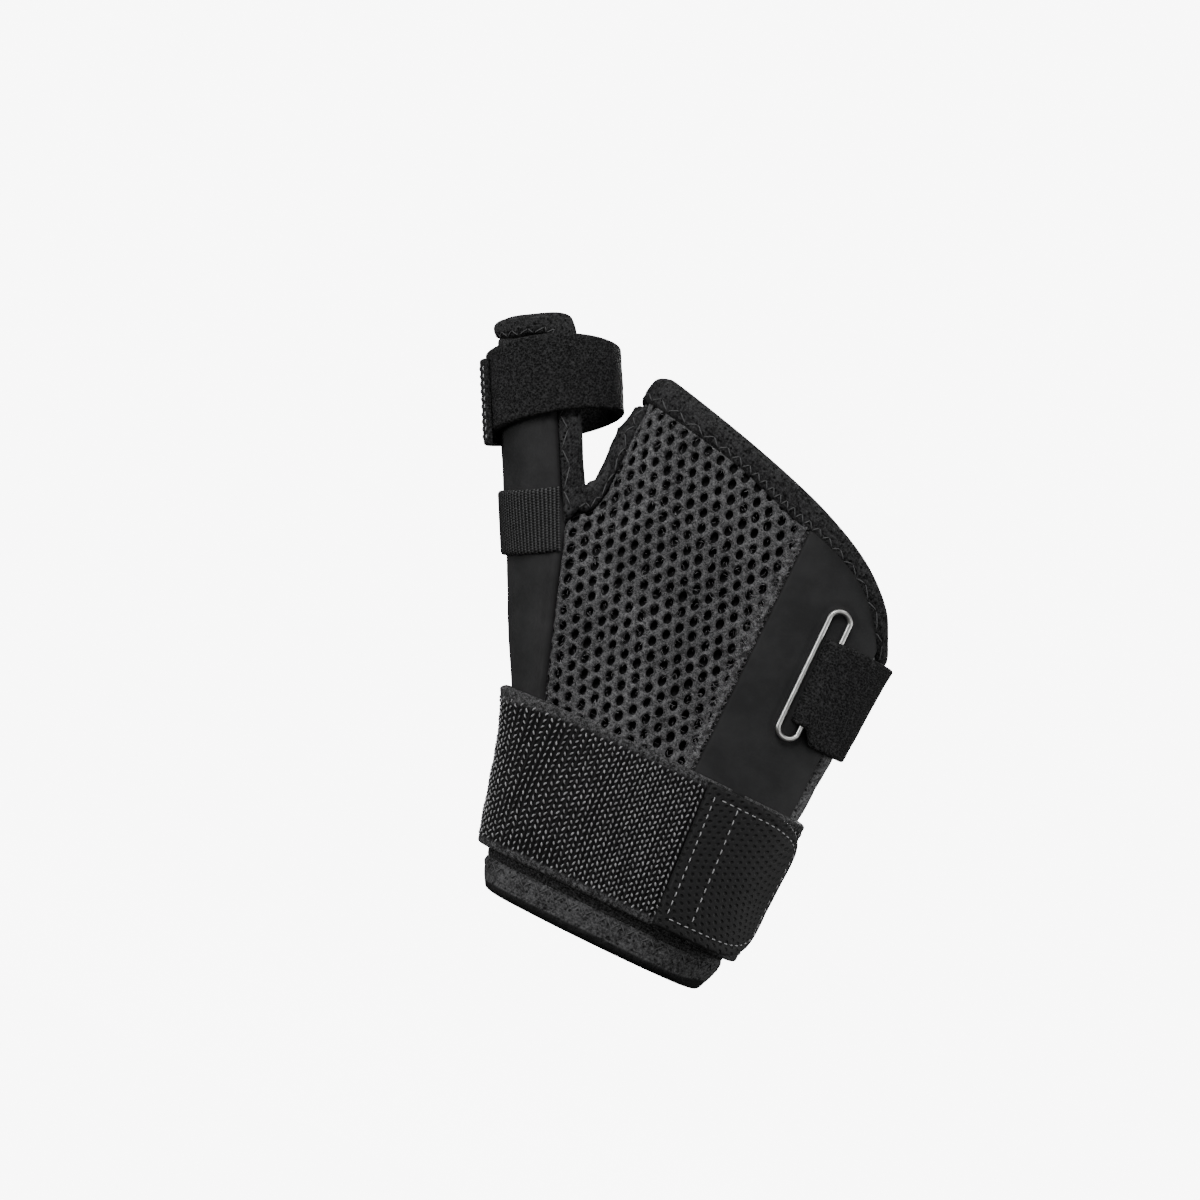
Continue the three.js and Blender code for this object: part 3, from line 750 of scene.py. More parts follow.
# Each material: the function that makes it, the colour setting it follows, and its share of that.
FINISHES = {
    "satin_film_fabric": (satin_finish, "panel", 1),
    "ribbed_elastic_knit": (rib_finish, "panel", 1),
    "spacer_mesh_yarn": (yarn_finish, "mesh", 1),
    "mesh_backing_knit": (backing_finish, "mesh", 1),
    "loose_fibre": (fibre_finish, "mesh", 1),
    "knitted_binding": (knit_finish, "binding", 1),
    "fleecy_binding": (knit_finish, "binding", 4.2),
    # The wrist hem's knit, with painted shade darkening its lower edge.
    "lip_shaded_binding": (lip_shade_finish, "binding", 2.3),
    "brushed_loop_pile": (loop_finish, "strap", 1),
    "brushed_palm_knit": (loop_finish, "strap", 1.6),
    "woven_elastic_webbing": (woven_finish, "elastic", 1),
    "float_yarn": (float_finish, "elastic", 1),
    "dimpled_tab": (tab_finish, "tab", 1),
    "stitching_thread": (thread_finish, "thread", 1),
    "dark_thread": (dark_thread_finish, "thread", 1),
    "satin_steel_wire": (steel_finish, "wire", 1),
    "pale_backdrop": (paper_finish, "backdrop", 1),
}


def finish_of(name):
    """The material of a name, made the first time that it is asked for."""
    if name not in bpy.data.materials:
        make, tone, share = FINISHES[name]
        make(name, getattr(bpy.context.scene.splint_colours, tone) * share)
    return bpy.data.materials[name]


def lightness(name, what, default):
    return bpy.props.FloatProperty(name=name, description="Lightness of " + what, default=default,
                                   min=0, max=1, subtype="FACTOR")


def measure(name, description, default):
    return bpy.props.FloatProperty(name=name, description=description, default=default,
                                   unit="LENGTH")


class SplintColours(bpy.types.PropertyGroup):
    """How light each finish is."""
    panel: lightness("Smooth panels", "the satin panels", 0.015)
    mesh: lightness("Mesh", "the open mesh's yarn", 0.047)
    binding: lightness("Bindings", "the knitted bindings", 0.0115)
    strap: lightness("Loop straps", "the brushed straps", 0.0095)
    elastic: lightness("Elastic", "the woven elastic", 0.03)
    tab: lightness("Tab", "the strap's tab", 0.0085)
    thread: lightness("Thread", "the stitching", 0.24)
    wire: lightness("Wire", "the slot's ring, 1 for bright steel", 1.0)
    backdrop: lightness("Backdrop", "the studio floor", 0.9)


class SplintSizes(bpy.types.PropertyGroup):
    """Sizes that a maker would change."""
    hole_width: measure("Hole width", "Width of the mesh's holes", 0.0019)
    hole_height: measure("Hole height", "Height of the mesh's holes", 0.0027)
    thread: measure("Thread", "Thickness of the stitching thread", 0.00034)
    zigzag: measure("Zigzag pitch", "Step of the bindings' zigzag", 0.0021)


class Unrolled:
    """The body's back rolled flat: millimetres s from the stay panel's seam, against height z."""

    def __init__(self):
        self.z = np.linspace(17, 103, 90)
        turns = np.linspace(60, 176, 240)
        grid = form_point(body_axis, *np.meshgrid(turns, self.z, indexing="ij"))
        step = np.linalg.norm(np.diff(grid, axis=0), axis=-1)
        run = np.concatenate([np.zeros((1, len(self.z))), np.cumsum(step, axis=0)])
        rows = range(len(self.z))
        seam = turn_at(body_axis, np.full(len(self.z), STAY_SEAM - GAP), self.z)
        run -= np.array([np.interp(seam[k], turns, run[:, k]) for k in rows])
        self.s = np.arange(-2, 76, 0.5)
        self.turns = np.array([np.interp(self.s, run[:, k], turns) for k in rows])
        self.xs = np.array([np.interp(self.s, run[:, k], grid[:, k, 0]) for k in rows])

    def _look(self, table, s, z):
        a = np.clip((z - self.z[0]) / (self.z[1] - self.z[0]), 0, len(self.z) - 1.001)
        b = np.clip((s - self.s[0]) / (self.s[1] - self.s[0]), 0, len(self.s) - 1.001)
        i, j = a.astype(int), b.astype(int)
        a, b = a - i, b - j
        return ((table[i, j] * (1 - b) + table[i, j + 1] * b) * (1 - a)
                + (table[i + 1, j] * (1 - b) + table[i + 1, j + 1] * b) * a)

    def x(self, s, z):
        return self._look(self.xs, s, z)

    def surface(self, s, z):
        """Points on the form and the way out of it."""
        points = form_point(body_axis, self._look(self.turns, s, z), z)
        return points, outward(points)


class SPLINT_OT_mesh(bpy.types.Operator):
    """The open mesh on the back, with a hole in every cell, over its dark backing"""
    bl_idname = "splint.mesh"
    bl_label = "Open mesh"

    def execute(self, context):
        flat = Unrolled()
        points, levels, faces = self.lattice(flat)
        s, z = np.maximum(-points[:, 0], 0), np.maximum(points[:, 1], CUFF_HIGH - 1.5)
        for _ in range(3):
            x = flat.x(s, z)
            s = s - np.maximum(mesh_left(z) - GAP - x, 0)
            z = np.minimum(z, finger_inner(x) + 1.2)
        x = flat.x(s, z)
        inside = np.minimum(x - mesh_left(z) + 0.4, finger_inner(x) + 0.6 - z)
        low = 1 - 0.5 * (1 - smooth(inside / 1.6))
        base, out = flat.surface(s, z)
        mesh = new_object("open_mesh", base + out * (levels * low)[:, None], faces,
                          np.stack([s, z], 1))
        tidy_mesh(mesh)
        dress(mesh, "spacer_mesh_yarn", ["mesh_panel"])
        cloth = self.backing()
        self.fibres(flat)
        return {"FINISHED"}

    def lattice(self, flat):
        """Points, levels and faces of every cell: a round hole in a border that cells share."""
        side, corner = 4, np.array([(-0.5, -0.5), (0.5, -0.5), (0.5, 0.5), (-0.5, 0.5)])
        steps = np.array([CELL_ACROSS, CELL_UP])
        border = np.array([mix(corner[k], corner[(k + 1) % 4], t)
                           for k in range(4) for t in np.arange(side) / side]) @ steps
        angle = np.arctan2(border[:, 1], border[:, 0])
        sizes = bpy.context.scene.splint_sizes
        oval = np.stack([sizes.hole_width / MM / 2 * np.cos(angle),
                         sizes.hole_height / MM / 2 * np.sin(angle)], 1)
        rim = [(oval * 0.96, 0.35), (oval, 1.5), (oval * 1.1, 2.1),
               (mix(oval * 1.28, border, 0.4), MESH_TOP)]
        places, points, faces = {}, [], []

        def vertex(p, level):
            place = (round(p[0], 3), round(p[1], 3), level)
            if place not in places:
                places[place] = len(points)
                points.append(p)
            return places[place]

        rng = np.random.default_rng(5)
        for i in range(-25, 40):
            for j in range(-40, 30):
                centre = i * steps[0] + j * steps[1] + CELL_START
                s, z = -centre[0], centre[1]
                if not (-CELL_MARGIN < s < 72 and 16.5 < z < 104):
                    continue
                x = flat.x(s, z)
                if x < mesh_left(z) - CELL_MARGIN or z > finger_inner(x) + CELL_MARGIN:
                    continue
                jitter = rng.normal(0, 0.07, 2)
                size = 1 + rng.normal(0, 0.05)
                rings = [[vertex(centre + p, level) for p in shape * size + jitter]
                         for shape, level in rim]
                rings += [[vertex(centre + p, level) for p in border]
                          for level in (MESH_TOP, MESH_FOOT)]
                for low, high in (*zip(rings[:-2], rings[1:-1]), (rings[-1], rings[0])):
                    for k in range(len(border)):
                        n = (k + 1) % len(border)
                        faces.append([low[k], low[n], high[n], high[k]])
        self.close(places, faces)
        return np.array(points), np.array([level for *_, level in places]), faces

    def close(self, places, faces):
        """Joins the top to the underside along the mesh's cut edge."""
        edges = dict.fromkeys((a, b) for face in faces for a, b in zip(face, face[1:] + face[:1]))
        under = {number: places[s, z, MESH_FOOT] for (s, z, level), number in places.items()
                 if level == MESH_TOP and (s, z, MESH_FOOT) in places}
        for a, b in edges:
            if (b, a) not in edges and a in under and b in under:
                faces.append([b, a, under[a], under[b]])

    def backing(self):
        def place(u, v):
            turn = mix(turn_at(body_axis, STAY_SEAM + 4, 88), turn_at(body_axis, -44, 100), u)
            z = mix(CUFF_HIGH, height_on(finger_inner, turn[:, 0])[:, None] + 3, v)
            right = turn_line(body_axis, lambda q: q * 0 + STAY_SEAM + 4, z)
            edge = turn_line(body_axis, lambda q: mesh_left(q) - 2.5, z)
            return mix(right, edge, u), z

        cloth = on_form(body_axis, np.linspace(0, 1, 60), np.linspace(0, 1, 70), place)
        backing = wall("mesh_backing", cloth, -0.45, 0.4, hem=np.ones(cloth.p.shape[:2]))
        dress(backing, "mesh_backing_knit")
        declare(cloth)
        return cloth

    def fibres(self, flat):
        """Loose fibres: thick along the cut edge by the smooth panel, sparse on the rest."""
        rng = np.random.default_rng(17)
        edge, field = 2600, 1700
        s = np.concatenate([rng.exponential(0.9, edge) - 0.2, rng.uniform(1, 56, field)])
        z = rng.uniform(20, 100, edge + field)
        x = flat.x(s, z)
        keep = (x > mesh_left(z) + 0.6) & (z < finger_inner(x) + 0.2)
        s, z = s[keep][:, None], z[keep][:, None]
        way, length = rng.uniform(0, 2 * math.pi, s.shape), rng.uniform(0.5, 1.5, s.shape)
        curl, t = rng.normal(0, 0.35, s.shape), np.linspace(0, 1, 4)
        ps = np.maximum(s + length * t * np.cos(way + curl * t), -0.9)
        pz = z + length * t * np.sin(way + curl * t)
        base, out = flat.surface(ps, pz)
        lift = 2.2 + rng.uniform(0.05, 0.4, s.shape) * np.sin(math.pi * t)
        lift = np.where(ps < 0, np.minimum(lift, 2.05), lift)
        paths = list(zip(base + out * lift[..., None], out))
        dress(thread("mesh_fibres", paths, 0.05, sides=3, rise=0.02), "loose_fibre")


class SPLINT_OT_panels(bpy.types.Operator):
    """The smooth panels over the stays, the palm's wall and the cuff"""
    bl_idname = "splint.panels"
    bl_label = "Panels"

    def execute(self, context):
        self.thumb_panel()
        self.stay_panel()

        def palm(u, v):
            top = mix(turn_at(body_axis, -42.6, 92, True), PALM_STOP, u)
            z = mix(CUFF_HIGH, along(PALM_EDGE, "turn", "inner", top) - 3 * GAP, v)
            left = turn_line(body_axis, lambda q: mesh_left(q) + GAP, z, True)
            return mix(left, PALM_STOP, u), z

        cloth = on_form(body_axis, graded(90, 80), graded(90, 70), palm)
        sheet(wall("palm_wall", cloth, 0, PANEL_WALL, 0.16 * ripple(cloth.p, 26, 3)), cloth,
              "brushed_palm_knit", "palm_panel")

        cloth = on_form(body_axis, graded(150, 200), graded(30, 38), lambda u, v: (
            mix(ULNAR_EDGE, PALM_STOP, u), mix(BINDING_TOP - 1.5, CUFF_HIGH - GAP, v)))
        sheet(wall("cuff_wall", cloth, 0, PANEL_WALL), cloth,
              "brushed_palm_knit", "wrist_cuff")
        return {"FINISHED"}

    def thumb_panel(self):
        def seam(z, palm):
            """The seam low down, turning into the panel's straight edge at the thumb's root."""
            low = turn_line(thumb_axis, lambda q: along(THUMB_SEAM, "z", "x", q) - GAP, z, palm)
            return mix(low, THUMB_TURNS[palm], np.clip((z - 62) / 8, 0, 1))

        def place(u, v):
            z = mix(CUFF_HIGH, thumb_height(THUMB_TOP, mix(*THUMB_TURNS, u)), v)
            return mix(seam(z, False), seam(z, True), u), z

        cloth = on_form(thumb_axis, graded(90, 50), graded(150, 95), place)
        edge = cloth.from_edge("u")
        relief = 0.22 * bump(edge - 1.5, 0.9) - 0.18 * bump(edge - 3.1, 0.5)
        relief += 0.14 * ripple(cloth.p, 30, 8)
        sheet(wall("thumb_stay_cover", cloth, 0, PANEL_WALL, relief), cloth,
              "satin_film_fabric", "thumb_panel")

    def stay_panel(self):
        def place(u, v):
            top = mix(ULNAR_EDGE + ULNAR_STRIP, turn_at(body_axis, STAY_SEAM, 88), u)
            z = mix(CUFF_HIGH, height_on(finger_inner, top[:, 0])[:, None] + 1.6, v)
            seam = turn_line(body_axis, lambda q: q * 0 + STAY_SEAM, z)
            return mix(ULNAR_EDGE + ULNAR_STRIP - 2.5, seam, u), z

        cloth = on_form(body_axis, graded(70, 36), graded(120, 68), place)
        x, z = cloth.p[..., 0], cloth.p[..., 2]
        ring = np.hypot(x - SLOT_X, z - np.clip(z, SLOT_LOW + SLOT_HALF, SLOT_HIGH - SLOT_HALF))
        relief = 0.12 * ripple(cloth.p, 34, 12) - 0.25 * bump(ring - SLOT_HALF - 0.6, 0.8)
        piece = wall("stay_cover", cloth, 0, PANEL_WALL, relief)
        cutter = self.slot_cutter(SLOT_HALF - 2 * WIRE + 0.2)
        cut = piece.modifiers.new("slot", "BOOLEAN")
        cut.operation, cut.object, cut.solver = "DIFFERENCE", cutter, "EXACT"
        shaped = bpy.data.meshes.new_from_object(
            piece.evaluated_get(bpy.context.evaluated_depsgraph_get()))
        piece.modifiers.clear()
        piece.data = shaped
        bpy.data.objects.remove(cutter)
        sheet(piece, cloth, "satin_film_fabric", "stay_panel")

    def slot_cutter(self, half):
        low, high = SLOT_LOW + SLOT_HALF, SLOT_HIGH - SLOT_HALF
        turns = np.linspace(0, math.pi, 17)
        ring = [(SLOT_X + half * math.cos(a), high + half * math.sin(a)) for a in turns]
        ring += [(SLOT_X - half * math.cos(a), low - half * math.sin(a)) for a in turns]
        count = len(ring)
        verts = [(x, y, z) for y in (-60, -5) for x, z in ring]
        faces = [[k, (k + 1) % count, (k + 1) % count + count, k + count] for k in range(count)]
        faces += [list(range(count))[::-1], list(range(count, 2 * count))]
        return new_object("slot_cutter", verts, faces, smooth_faces=False)


class SPLINT_OT_bindings(bpy.types.Operator):
    """The puffy knitted bindings round every free edge, with their zigzag stitching"""
    bl_idname = "splint.bindings"
    bl_label = "Bindings"

    def execute(self, context):
        for name, cloth, material, node, rests_on in (
            ("finger_hem", self.finger(), "knitted_binding", "finger_binding", "mesh_panel"),
            ("ulnar_hem", self.ulnar(), "fleecy_binding", "ulnar_binding", "stay_panel"),
            # The wrist hem's finish paints shade along its lower edge.
            ("wrist_hem", self.wrist(), "lip_shaded_binding", "wrist_binding", "wrist_cuff"),
            ("web_hem", self.web(), "knitted_binding", "web_binding", "mesh_panel"),
            ("thumb_hem", self.thumb(), "knitted_binding", "thumb_binding", "thumb_panel"),
        ):
            other, share = cloth.along_u, cloth.along_v / cloth.along_v[:, -1:]
            if name == "ulnar_hem":
                other, share = cloth.along_v, cloth.along_u / cloth.along_u[-1:]
            puff = 1 - np.abs(2 * share - 1) ** 3
            pucker = 0.5 + 0.5 * np.cos(2 * math.pi * other / 4.2 + 1.5 * ripple(cloth.p, 20, 4))
            groove = bump(share - ZIGZAG_MIDDLE, 0.09) * (0.4 + 0.6 * pucker)
            relief = 0.35 * (puff - 1) - 0.45 * groove + 0.16 * ripple(cloth.p, 9, 21)
            piece = wall(name, cloth, 0, BINDING_WALL, relief, cloth.hem(2.1))
            if name != "ulnar_hem":
                pitch = context.scene.splint_sizes.zigzag / MM
                sew(name + "_zigzag", zigzag(cloth, pitch), "dark_thread")
            sheet(piece, cloth, material, node)
        return {"FINISHED"}

    def finger(self):
        def line(turn, back, palm):
            far = height_on(back, np.array([WEB_BACK]))
            near = along(PALM_EDGE, "turn", palm, WEB_PALM)
            web = mix(far, near, np.clip((turn - WEB_BACK) / (WEB_PALM - WEB_BACK), 0, 1))
            over = height_on(back, np.clip(turn, 0, WEB_BACK))
            under = along(PALM_EDGE, "turn", palm, turn)
            return np.where(turn <= WEB_BACK, over, np.where(turn >= WEB_PALM, under, web))

        def place(u, v):
            turn = mix(ULNAR_EDGE, PALM_STOP, u)
            low = line(turn[:, 0], finger_inner, "inner")[:, None]
            high = line(turn[:, 0], finger_outer, "edge")[:, None]
            return turn, mix(low, high, v)

        return on_form(body_axis, graded(420, 230), graded(34, 8, 2.0), place)

    def ulnar(self):
        def place(u, v):
            turn = mix(ULNAR_EDGE, ULNAR_EDGE + ULNAR_STRIP - 0.5, u)
            return turn, mix(CUFF_HIGH, height_on(finger_inner, turn[:, 0])[:, None] - GAP, v)

        return on_form(body_axis, graded(24, 5, 1.4), graded(90, 48), place)

    def wrist(self):
        def place(u, v):
            turn = mix(ULNAR_EDGE, PALM_STOP, u)
            top = BINDING_TOP + 1.5 * (1 - smooth((turn - 12) / 30))
            return turn, mix(top, CUFF_LOW, v)

        return on_form(body_axis, graded(360, 190), graded(34, 9, 2.0), place)

    def web(self):
        def rows(step, palm):
            drop = 3.4 * np.maximum(step - 3, 0) / 2 if palm else 0
            ex, ez, ix, iz = (along(WEB, "step", column, step)
                              for column in ("edge_x", "edge_z", "inner_x", "inner_z"))
            return np.stack([turn_at(body_axis, ex, ez, palm), ez,
                             turn_at(body_axis, ix, iz, palm), iz - drop])

        def place(u, v):
            walk = u[:, 0] * 12
            palm = walk > 6
            step = np.where(palm, 12 - walk, walk)
            near = np.where(palm, rows(np.minimum(step, 5), True), rows(np.minimum(step, 5), False))
            crown = np.array([180, 96.6, 180, 99.2])[:, None]
            now = mix(near, crown, np.maximum(step - 5, 0))
            edge_turn, edge_z, inner_turn, inner_z = now[..., None]
            return mix(inner_turn, edge_turn, v), mix(inner_z, edge_z, v)

        return on_form(body_axis, graded(150, 70), graded(26, 5, 1.6), place)

    def thumb(self):
        def place(u, v):
            read = [along(THUMB_HEM, "step", column, 12 * u)
                    for column in ("inner", "inner_s", "edge", "edge_s")]
            turn = mix(read[0] - 2 * np.cos(math.pi * u), read[2], v)
            return turn, thumb_height(mix(read[1], read[3], v), turn)

        return on_form(thumb_axis, graded(240, 130), graded(30, 6, 1.8), place)


class SPLINT_OT_thumb_straps(bpy.types.Operator):
    """The ribbed elastic on the thumb, the loop strap above it and the strap's sewn end"""
    bl_idname = "splint.thumb_straps"
    bl_label = "Thumb straps"

    def execute(self, context):
        def rib(u, v):
            turn = mix(*RIB_TURNS, u)
            return turn, thumb_height(mix(*RIB_STATIONS, v), turn)

        cloth = on_form(thumb_axis, graded(260, 45), graded(40, 16), rib)
        ribs = 0.05 * np.cos(2 * math.pi * cloth.along_u / RIB_PITCH)
        sheet(wall("ribbed_elastic", cloth, PANEL_WALL + GAP, 1.1, ribs), cloth,
              "ribbed_elastic_knit", "thumb_elastic")

        cloth = self.loop(np.linspace(0, 2 * math.pi, 220), graded(50, 20), 0)
        relief = 0.12 * ripple(cloth.p, 14, 31) + 0.05 * ripple(cloth.p, 2.5, 32)
        sheet(wall("thumb_loop", cloth, 0, STRAP_WALL, relief, cloth.hem(0.7)), cloth,
              "brushed_loop_pile", "thumb_strap")

        turns = np.radians(mix(*END_TURNS, graded(30, 16, 1.0)))
        cloth = self.loop(turns, graded(40, 22, 1.0), STRAP_WALL + GAP, END_STATIONS)
        piece = wall("thumb_loop_end", cloth, 0, 1.2, 0.08 * ripple(cloth.p, 9, 41), cloth.hem(0.8))
        sheet(piece, cloth, "brushed_loop_pile", "thumb_strap_tab")
        rows = [running(cloth, [(u, 0.05), (u, 0.95)], 1.9, 0.35) for u in (0.06, 0.3)]
        sew("thumb_loop_stitches", rows[0] + rows[1])
        return {"FINISHED"}

    def loop(self, turns, shares, grow, span=None):
        a, v = np.meshgrid(turns, shares, indexing="ij")
        lean = LOOP["tilt"] * np.sin(a) + LOOP["skew"] * np.cos(a)
        fall = LOOP["fall"] * bump(np.minimum(a, 2 * math.pi - a), 1.3)
        station = LOOP["station"] + lean + LOOP["width"] * (v - 0.5) - fall * v
        if span:
            station = mix(*span, v)
        wide, deep = LOOP["half_across"] + grow, LOOP["half_deep"] + grow
        t, y = LOOP["across"] + wide * np.cos(a), -deep * np.sin(a)
        c, s = math.cos(LEAN), math.sin(LEAN)
        points = np.stack([t * c - station * s, y, t * s + station * c], -1)
        nt, ny = deep * np.cos(a), -wide * np.sin(a)
        length = np.hypot(nt, ny)
        normals = np.stack([nt / length * c, ny / length, nt / length * s], -1)
        us = (turns - turns[0]) / (turns[-1] - turns[0])
        return Cloth(points, us, shares, normals, closed=span is None)


class SPLINT_OT_wrist_strap(bpy.types.Operator):
    """The wide woven elastic round the wrist and the dimpled tab that closes it"""
    bl_idname = "splint.wrist_strap"
    bl_label = "Wrist strap"

    def execute(self, context):
        start = turn_at(body_axis, STRAP_START_X, 0)
        stop = 360 + turn_at(body_axis, STRAP_STOP_X, 0)
        cloth = on_form(body_axis, np.linspace(0, 1, 1100), graded(36, 39, 1.2), lambda u, v: (
            mix(start, stop, u), mix(STRAP_LOW, STRAP_HIGH, v) + 0 * u))
        cords = 0.14 * np.cos(2 * math.pi * cloth.along_u / WEAVE_PITCH)
        piece = wall("wrist_elastic", cloth, STRAP_FLOOR, STRAP_WALL,
                     cords - 0.2 * bump(cloth.from_edge("v") - 2.2, 0.35), cloth.hem(0.9))
        sheet(piece, cloth, "woven_elastic_webbing", "wrist_strap")
        floats = thread("elastic_floats", self.floats(cloth), 0.27, sides=4, rise=0.06)
        dress(floats, "float_yarn")
        self.tab()
        return {"FINISHED"}

    def floats(self, cloth):
        """The raised yarn of the weave: one short slanting float on every crossing."""
        rng = np.random.default_rng(23)
        width, length = (side / MM for side in cloth.flat)
        paths = []
        for k, u in enumerate(np.arange(0.9, length - 0.6, WEAVE_PITCH)):
            lean = 0.25 if k % 2 else -0.25
            rows = np.arange(2.6 + (k % 2) * FLOAT_PITCH / 2, width - 2.4, FLOAT_PITCH)
            for v in rows + rng.normal(0, 0.07, len(rows)):
                long = 0.56 + rng.normal(0, 0.06)
                t = np.linspace(-1, 1, 4)
                paths.append(cloth.at((u + lean * t + rng.normal(0, 0.05)) / length,
                                      (v + long * t) / width))
        return paths

    def tab(self):
        middle, half = (TAB_LOW + TAB_HIGH) / 2, (TAB_HIGH - TAB_LOW) / 2

        def place(u, v):
            seam = middle + half * (2 * v[0] - 1)
            turn = mix(TAB_RIGHT, turn_at(body_axis, TAB_LEFT - TAB_SLANT * seam, seam)[None], u)
            t = np.clip((TAB_RIGHT + TAB_ROUND - turn) / TAB_ROUND, 0, 0.97)
            h = half * (1 - t**TAB_POWER) ** (1 / TAB_POWER)
            return turn, middle + h * (2 * v - 1)

        cloth = on_form(body_axis, graded(110, 34, 1.2), graded(100, 38, 1.2), place)
        groove = -0.16 * bump(cloth.from_edge("u", "v") - 2.6, 0.5)
        piece = wall("closing_tab", cloth, STRAP_FLOOR + STRAP_WALL + GAP, TAB_WALL,
                     groove + 0.08 * ripple(cloth.p, 12, 51), cloth.hem(0.7))
        sheet(piece, cloth, "dimpled_tab", "strap_tab")
        seam, second, end = (1 - inset * MM / cloth.flat[1] for inset in (2.7, 9.6, 3))
        outline = [(u, 0.08) for u in np.linspace(end, 0.12, 30)]
        outline += [(0.11, v) for v in np.linspace(0.1, 0.9, 24)]
        outline += [(u, 0.92) for u in np.linspace(0.12, end, 30)]
        rows = []
        for line, pitch, gap in (
            ([(seam, v) for v in np.linspace(0.94, 0.07, 12)], 2.3, 0.35),
            ([(second, v) for v in np.linspace(0.93, 0.07, 12)], 2.6, 0.4),
            (outline, 2.2, 0.42),
        ):
            rows += running(cloth, line, pitch, gap)
        sew("tab_stitches", rows)


class SPLINT_OT_palm_strap(bpy.types.Operator):
    """The loop strap through the slot, and the steel wire ring that lines the slot"""
    bl_idname = "splint.palm_strap"
    bl_label = "Palm strap and ring"

    def execute(self, context):
        over, share = PANEL_WALL + 2 * GAP + 2 * WIRE, 0.35

        def x_of(u):
            return mix(PALM_FLAT, PALM_START, (u - 1 + share) / share)

        us = np.concatenate([np.linspace(0, 1 - share, 150), np.linspace(1 - share, 1, 90)[1:]])
        inside = us > 1 - share
        xs = np.where(inside, x_of(us), PALM_FLAT)
        near = turn_at(body_axis, xs, PALM_MIDDLE)
        turns = np.where(inside, near, mix(PALM_END, near, us / (1 - share)))
        squeeze = np.where(inside, np.minimum((us - 1 + share) / share / 0.5, 1), 0)
        low = mix(PALM_LOW, PALM_SLOT_LOW, smooth(squeeze))
        high = mix(PALM_HIGH, PALM_SLOT_HIGH, smooth(squeeze))
        rise = mix(STRAP_FLOOR + 0.2, over, np.maximum(us / (1 - share) - 0.7, 0) / 0.3)
        edge = SLOT_X + SLOT_HALF - 2 * WIRE
        dive = np.clip((edge - x_of(us)) / (edge - PALM_START), 0, 1)
        rise = np.where(inside, mix(over, 0.2, dive), rise)
        vs = graded(60, 27, 1.2)
        turn = np.broadcast_to(turns[:, None], (len(us), len(vs)))
        cloth = Cloth(form_point(body_axis, turn, mix(low[:, None], high[:, None], vs[None])), us, vs)
        relief = 0.08 * ripple(cloth.p, 10, 61) + 0.05 * ripple(cloth.p, 2.2, 62)
        piece = wall("palm_loop", cloth, rise[:, None], 1.3, relief, cloth.hem(0.7))
        sheet(piece, cloth, "brushed_loop_pile", "palm_strap")
        self.ring()
        return {"FINISHED"}

    def ring(self):
        half = SLOT_HALF - WIRE
        low, high = SLOT_LOW + SLOT_HALF, SLOT_HIGH - SLOT_HALF
        a = np.linspace(0, math.pi, 28)
        run = np.linspace(high, low, 50)[1:-1]
        x = np.concatenate([SLOT_X + half * np.cos(a), np.full(48, SLOT_X - half),
                            SLOT_X - half * np.cos(a), np.full(48, SLOT_X + half)])
        z = np.concatenate([high + half * np.sin(a), run, low - half * np.sin(a), run[::-1]])
        base = form_point(body_axis, turn_at(body_axis, x, z), z)
        out = outward(base)
        centre = base + out * (PANEL_WALL + GAP + WIRE)
        ahead = unit(np.roll(centre, -1, 0) - np.roll(centre, 1, 0))
        side = unit(np.cross(ahead, out))
        up = np.cross(side, ahead)
        spin = np.linspace(0, 2 * math.pi, 15)[:-1]
        verts = (centre[:, None] + WIRE * (np.cos(spin)[None, :, None] * side[:, None]
                                           + np.sin(spin)[None, :, None] * up[:, None]))
        n, m = verts.shape[:2]
        number = np.arange(n * m).reshape(n, m)
        ahead = np.roll(number, -1, 0)
        faces = np.stack([number, np.roll(number, -1, 1), np.roll(ahead, -1, 1), ahead], -1)
        piece = new_object("slot_wire", verts.reshape(-1, 3), faces.reshape(-1, 4))
        dress(piece, "satin_steel_wire", ["slot_ring"])


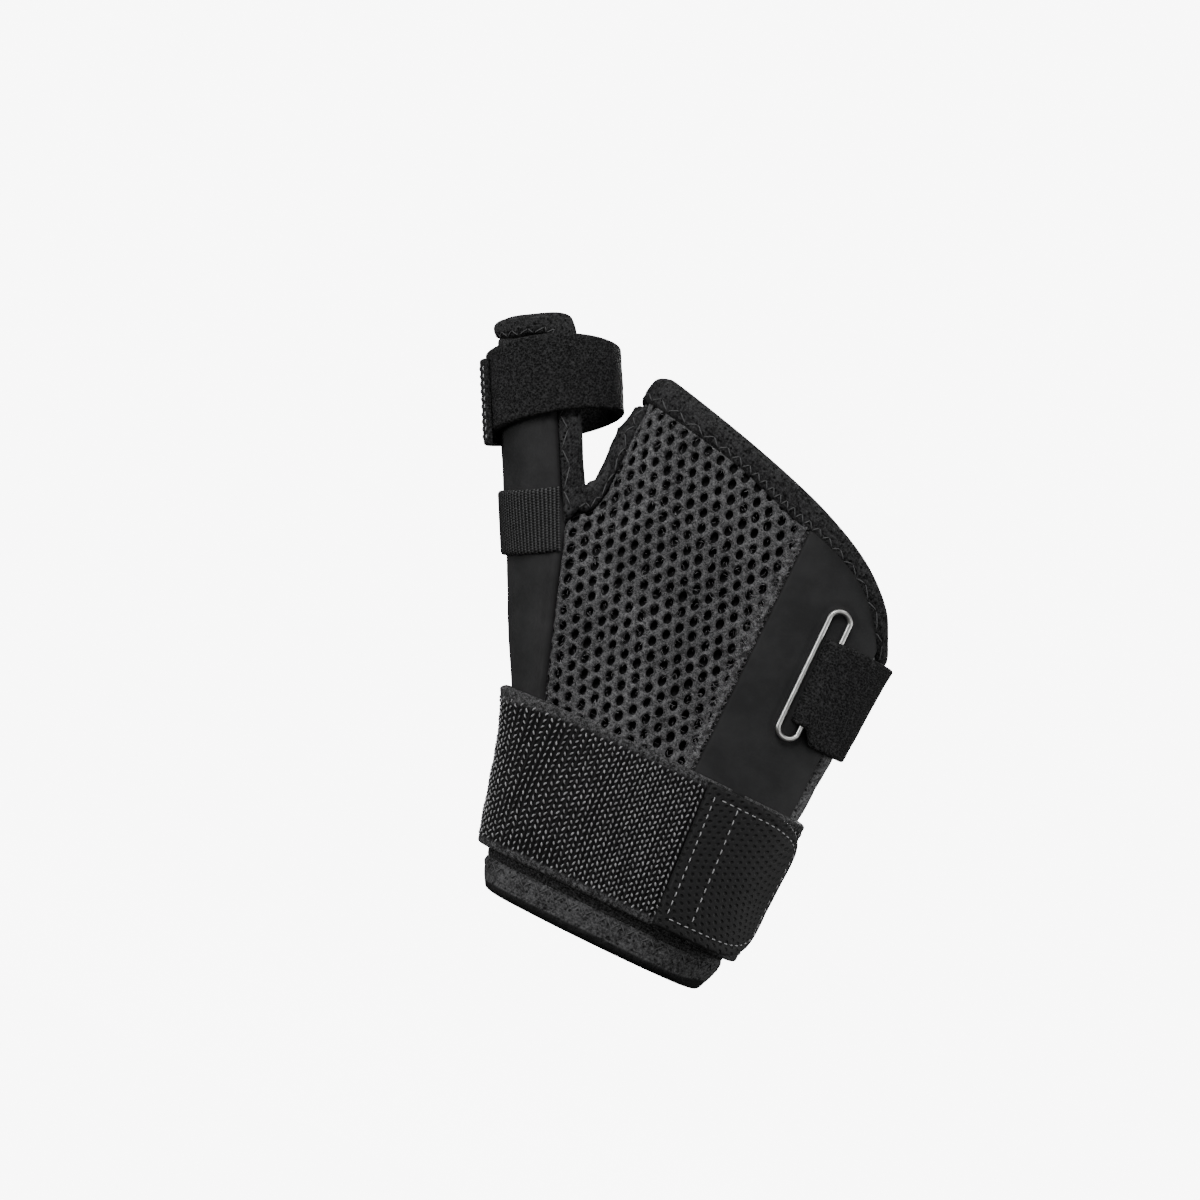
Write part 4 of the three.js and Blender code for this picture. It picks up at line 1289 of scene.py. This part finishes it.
class SPLINT_OT_stage(bpy.types.Operator):
    """A pale floor that curves up into a wall all round, soft studio lights and the camera"""
    bl_idname = "splint.stage"
    bl_label = "Studio"

    def execute(self, context):
        flat, reach, bend, top, around = 2000, 2400, 600, 3200, 96
        profile = [(bend, STAGE_FLOOR), (flat, STAGE_FLOOR)]
        profile += [(reach + bend * math.sin(a), STAGE_FLOOR + bend - bend * math.cos(a))
                    for a in np.linspace(0, math.pi / 2, 14)]
        profile += [(reach + bend, top)]
        verts = [(r * math.cos(a), r * math.sin(a), z) for r, z in profile
                 for a in np.linspace(0, 2 * math.pi, around, endpoint=False)]
        faces = [list(range(around))]
        for low in range(0, (len(profile) - 1) * around, around):
            for k in range(around):
                n = (k + 1) % around
                faces.append([low + k, low + n, low + around + n, low + around + k])
        sweep = new_object("studio_sweep", verts, faces)
        sweep.data.materials.append(finish_of("pale_backdrop"))
        sweep.visible_diffuse = sweep.visible_glossy = False

        for name, place, size, power in (
            ("key", (-0.35, -0.85, 0.8), 0.45, 14.5),
            ("fill", (0.75, -0.75, 0.2), 0.6, 2.4),
            ("top", (0.3, -0.3, 1.0), 0.6, 5),
            ("back", (0.2, 1.2, 0.5), 0.6, 26),
            ("right", (1.2, 0.25, 0.3), 0.6, 10),
            ("left", (-1.1, 0.35, 0.4), 0.6, 7),
            ("side", (-0.85, -0.65, 0.0), 0.5, 9),
        ):
            light = bpy.data.lights.new(name, "AREA")
            light.shape, light.size, light.energy = "DISK", size, power
            lamp = link(name, light)
            lamp.location = place
            aim = Vector((-0.02, 0.0, 0.04)) - lamp.location
            lamp.rotation_euler = aim.to_track_quat("-Z", "Y").to_euler()

        world = bpy.data.worlds.new("soft_light")
        world.use_nodes = True
        sky = world.node_tree.nodes["Background"].inputs
        sky["Color"].default_value, sky["Strength"].default_value = (1, 1, 1, 1), 0.16
        context.scene.world = world

        camera = link("camera", bpy.data.cameras.new("camera"))
        camera.data.lens, camera.data.sensor_width = 180, 36
        right, up, back = Vector((0.899, 0, 0.438)), Vector((-0.438, 0, 0.899)), Vector((0, -1, 0))
        spot = Vector((-0.0337, -1.514, 0.0509))
        turn = Matrix((right, up, back)).transposed().to_4x4()
        camera.matrix_world = Matrix.Translation(spot) @ turn
        context.scene.camera = camera
        return {"FINISHED"}


STEPS = (SPLINT_OT_mesh, SPLINT_OT_panels, SPLINT_OT_bindings, SPLINT_OT_thumb_straps,
         SPLINT_OT_wrist_strap, SPLINT_OT_palm_strap, SPLINT_OT_stage)


class SPLINT_PT_sidebar(bpy.types.Panel):
    """Lists the splint's sizes, colours and building steps"""
    bl_idname = "SPLINT_PT_sidebar"
    bl_label = "Thumb spica splint"
    bl_space_type = "VIEW_3D"
    bl_region_type = "UI"
    bl_category = "Splint"

    def draw(self, context):
        for group in (context.scene.splint_sizes, context.scene.splint_colours):
            for name in group.__annotations__:
                self.layout.prop(group, name)
        for step in STEPS:
            self.layout.operator(step.bl_idname)


CLASSES = (SplintColours, SplintSizes, *STEPS, SPLINT_PT_sidebar)


def register():
    for cls in CLASSES:
        bpy.utils.register_class(cls)
    bpy.types.Scene.splint_colours = bpy.props.PointerProperty(type=SplintColours)
    bpy.types.Scene.splint_sizes = bpy.props.PointerProperty(type=SplintSizes)


def unregister():
    del bpy.types.Scene.splint_sizes
    del bpy.types.Scene.splint_colours
    for cls in reversed(CLASSES):
        bpy.utils.unregister_class(cls)


def main():
    register()
    bpy.ops.splint.mesh()
    bpy.ops.splint.panels()
    bpy.ops.splint.bindings()
    bpy.ops.splint.thumb_straps()
    bpy.ops.splint.wrist_strap()
    bpy.ops.splint.palm_strap()
    bpy.ops.splint.stage()


if __name__ == "__main__":
    main()
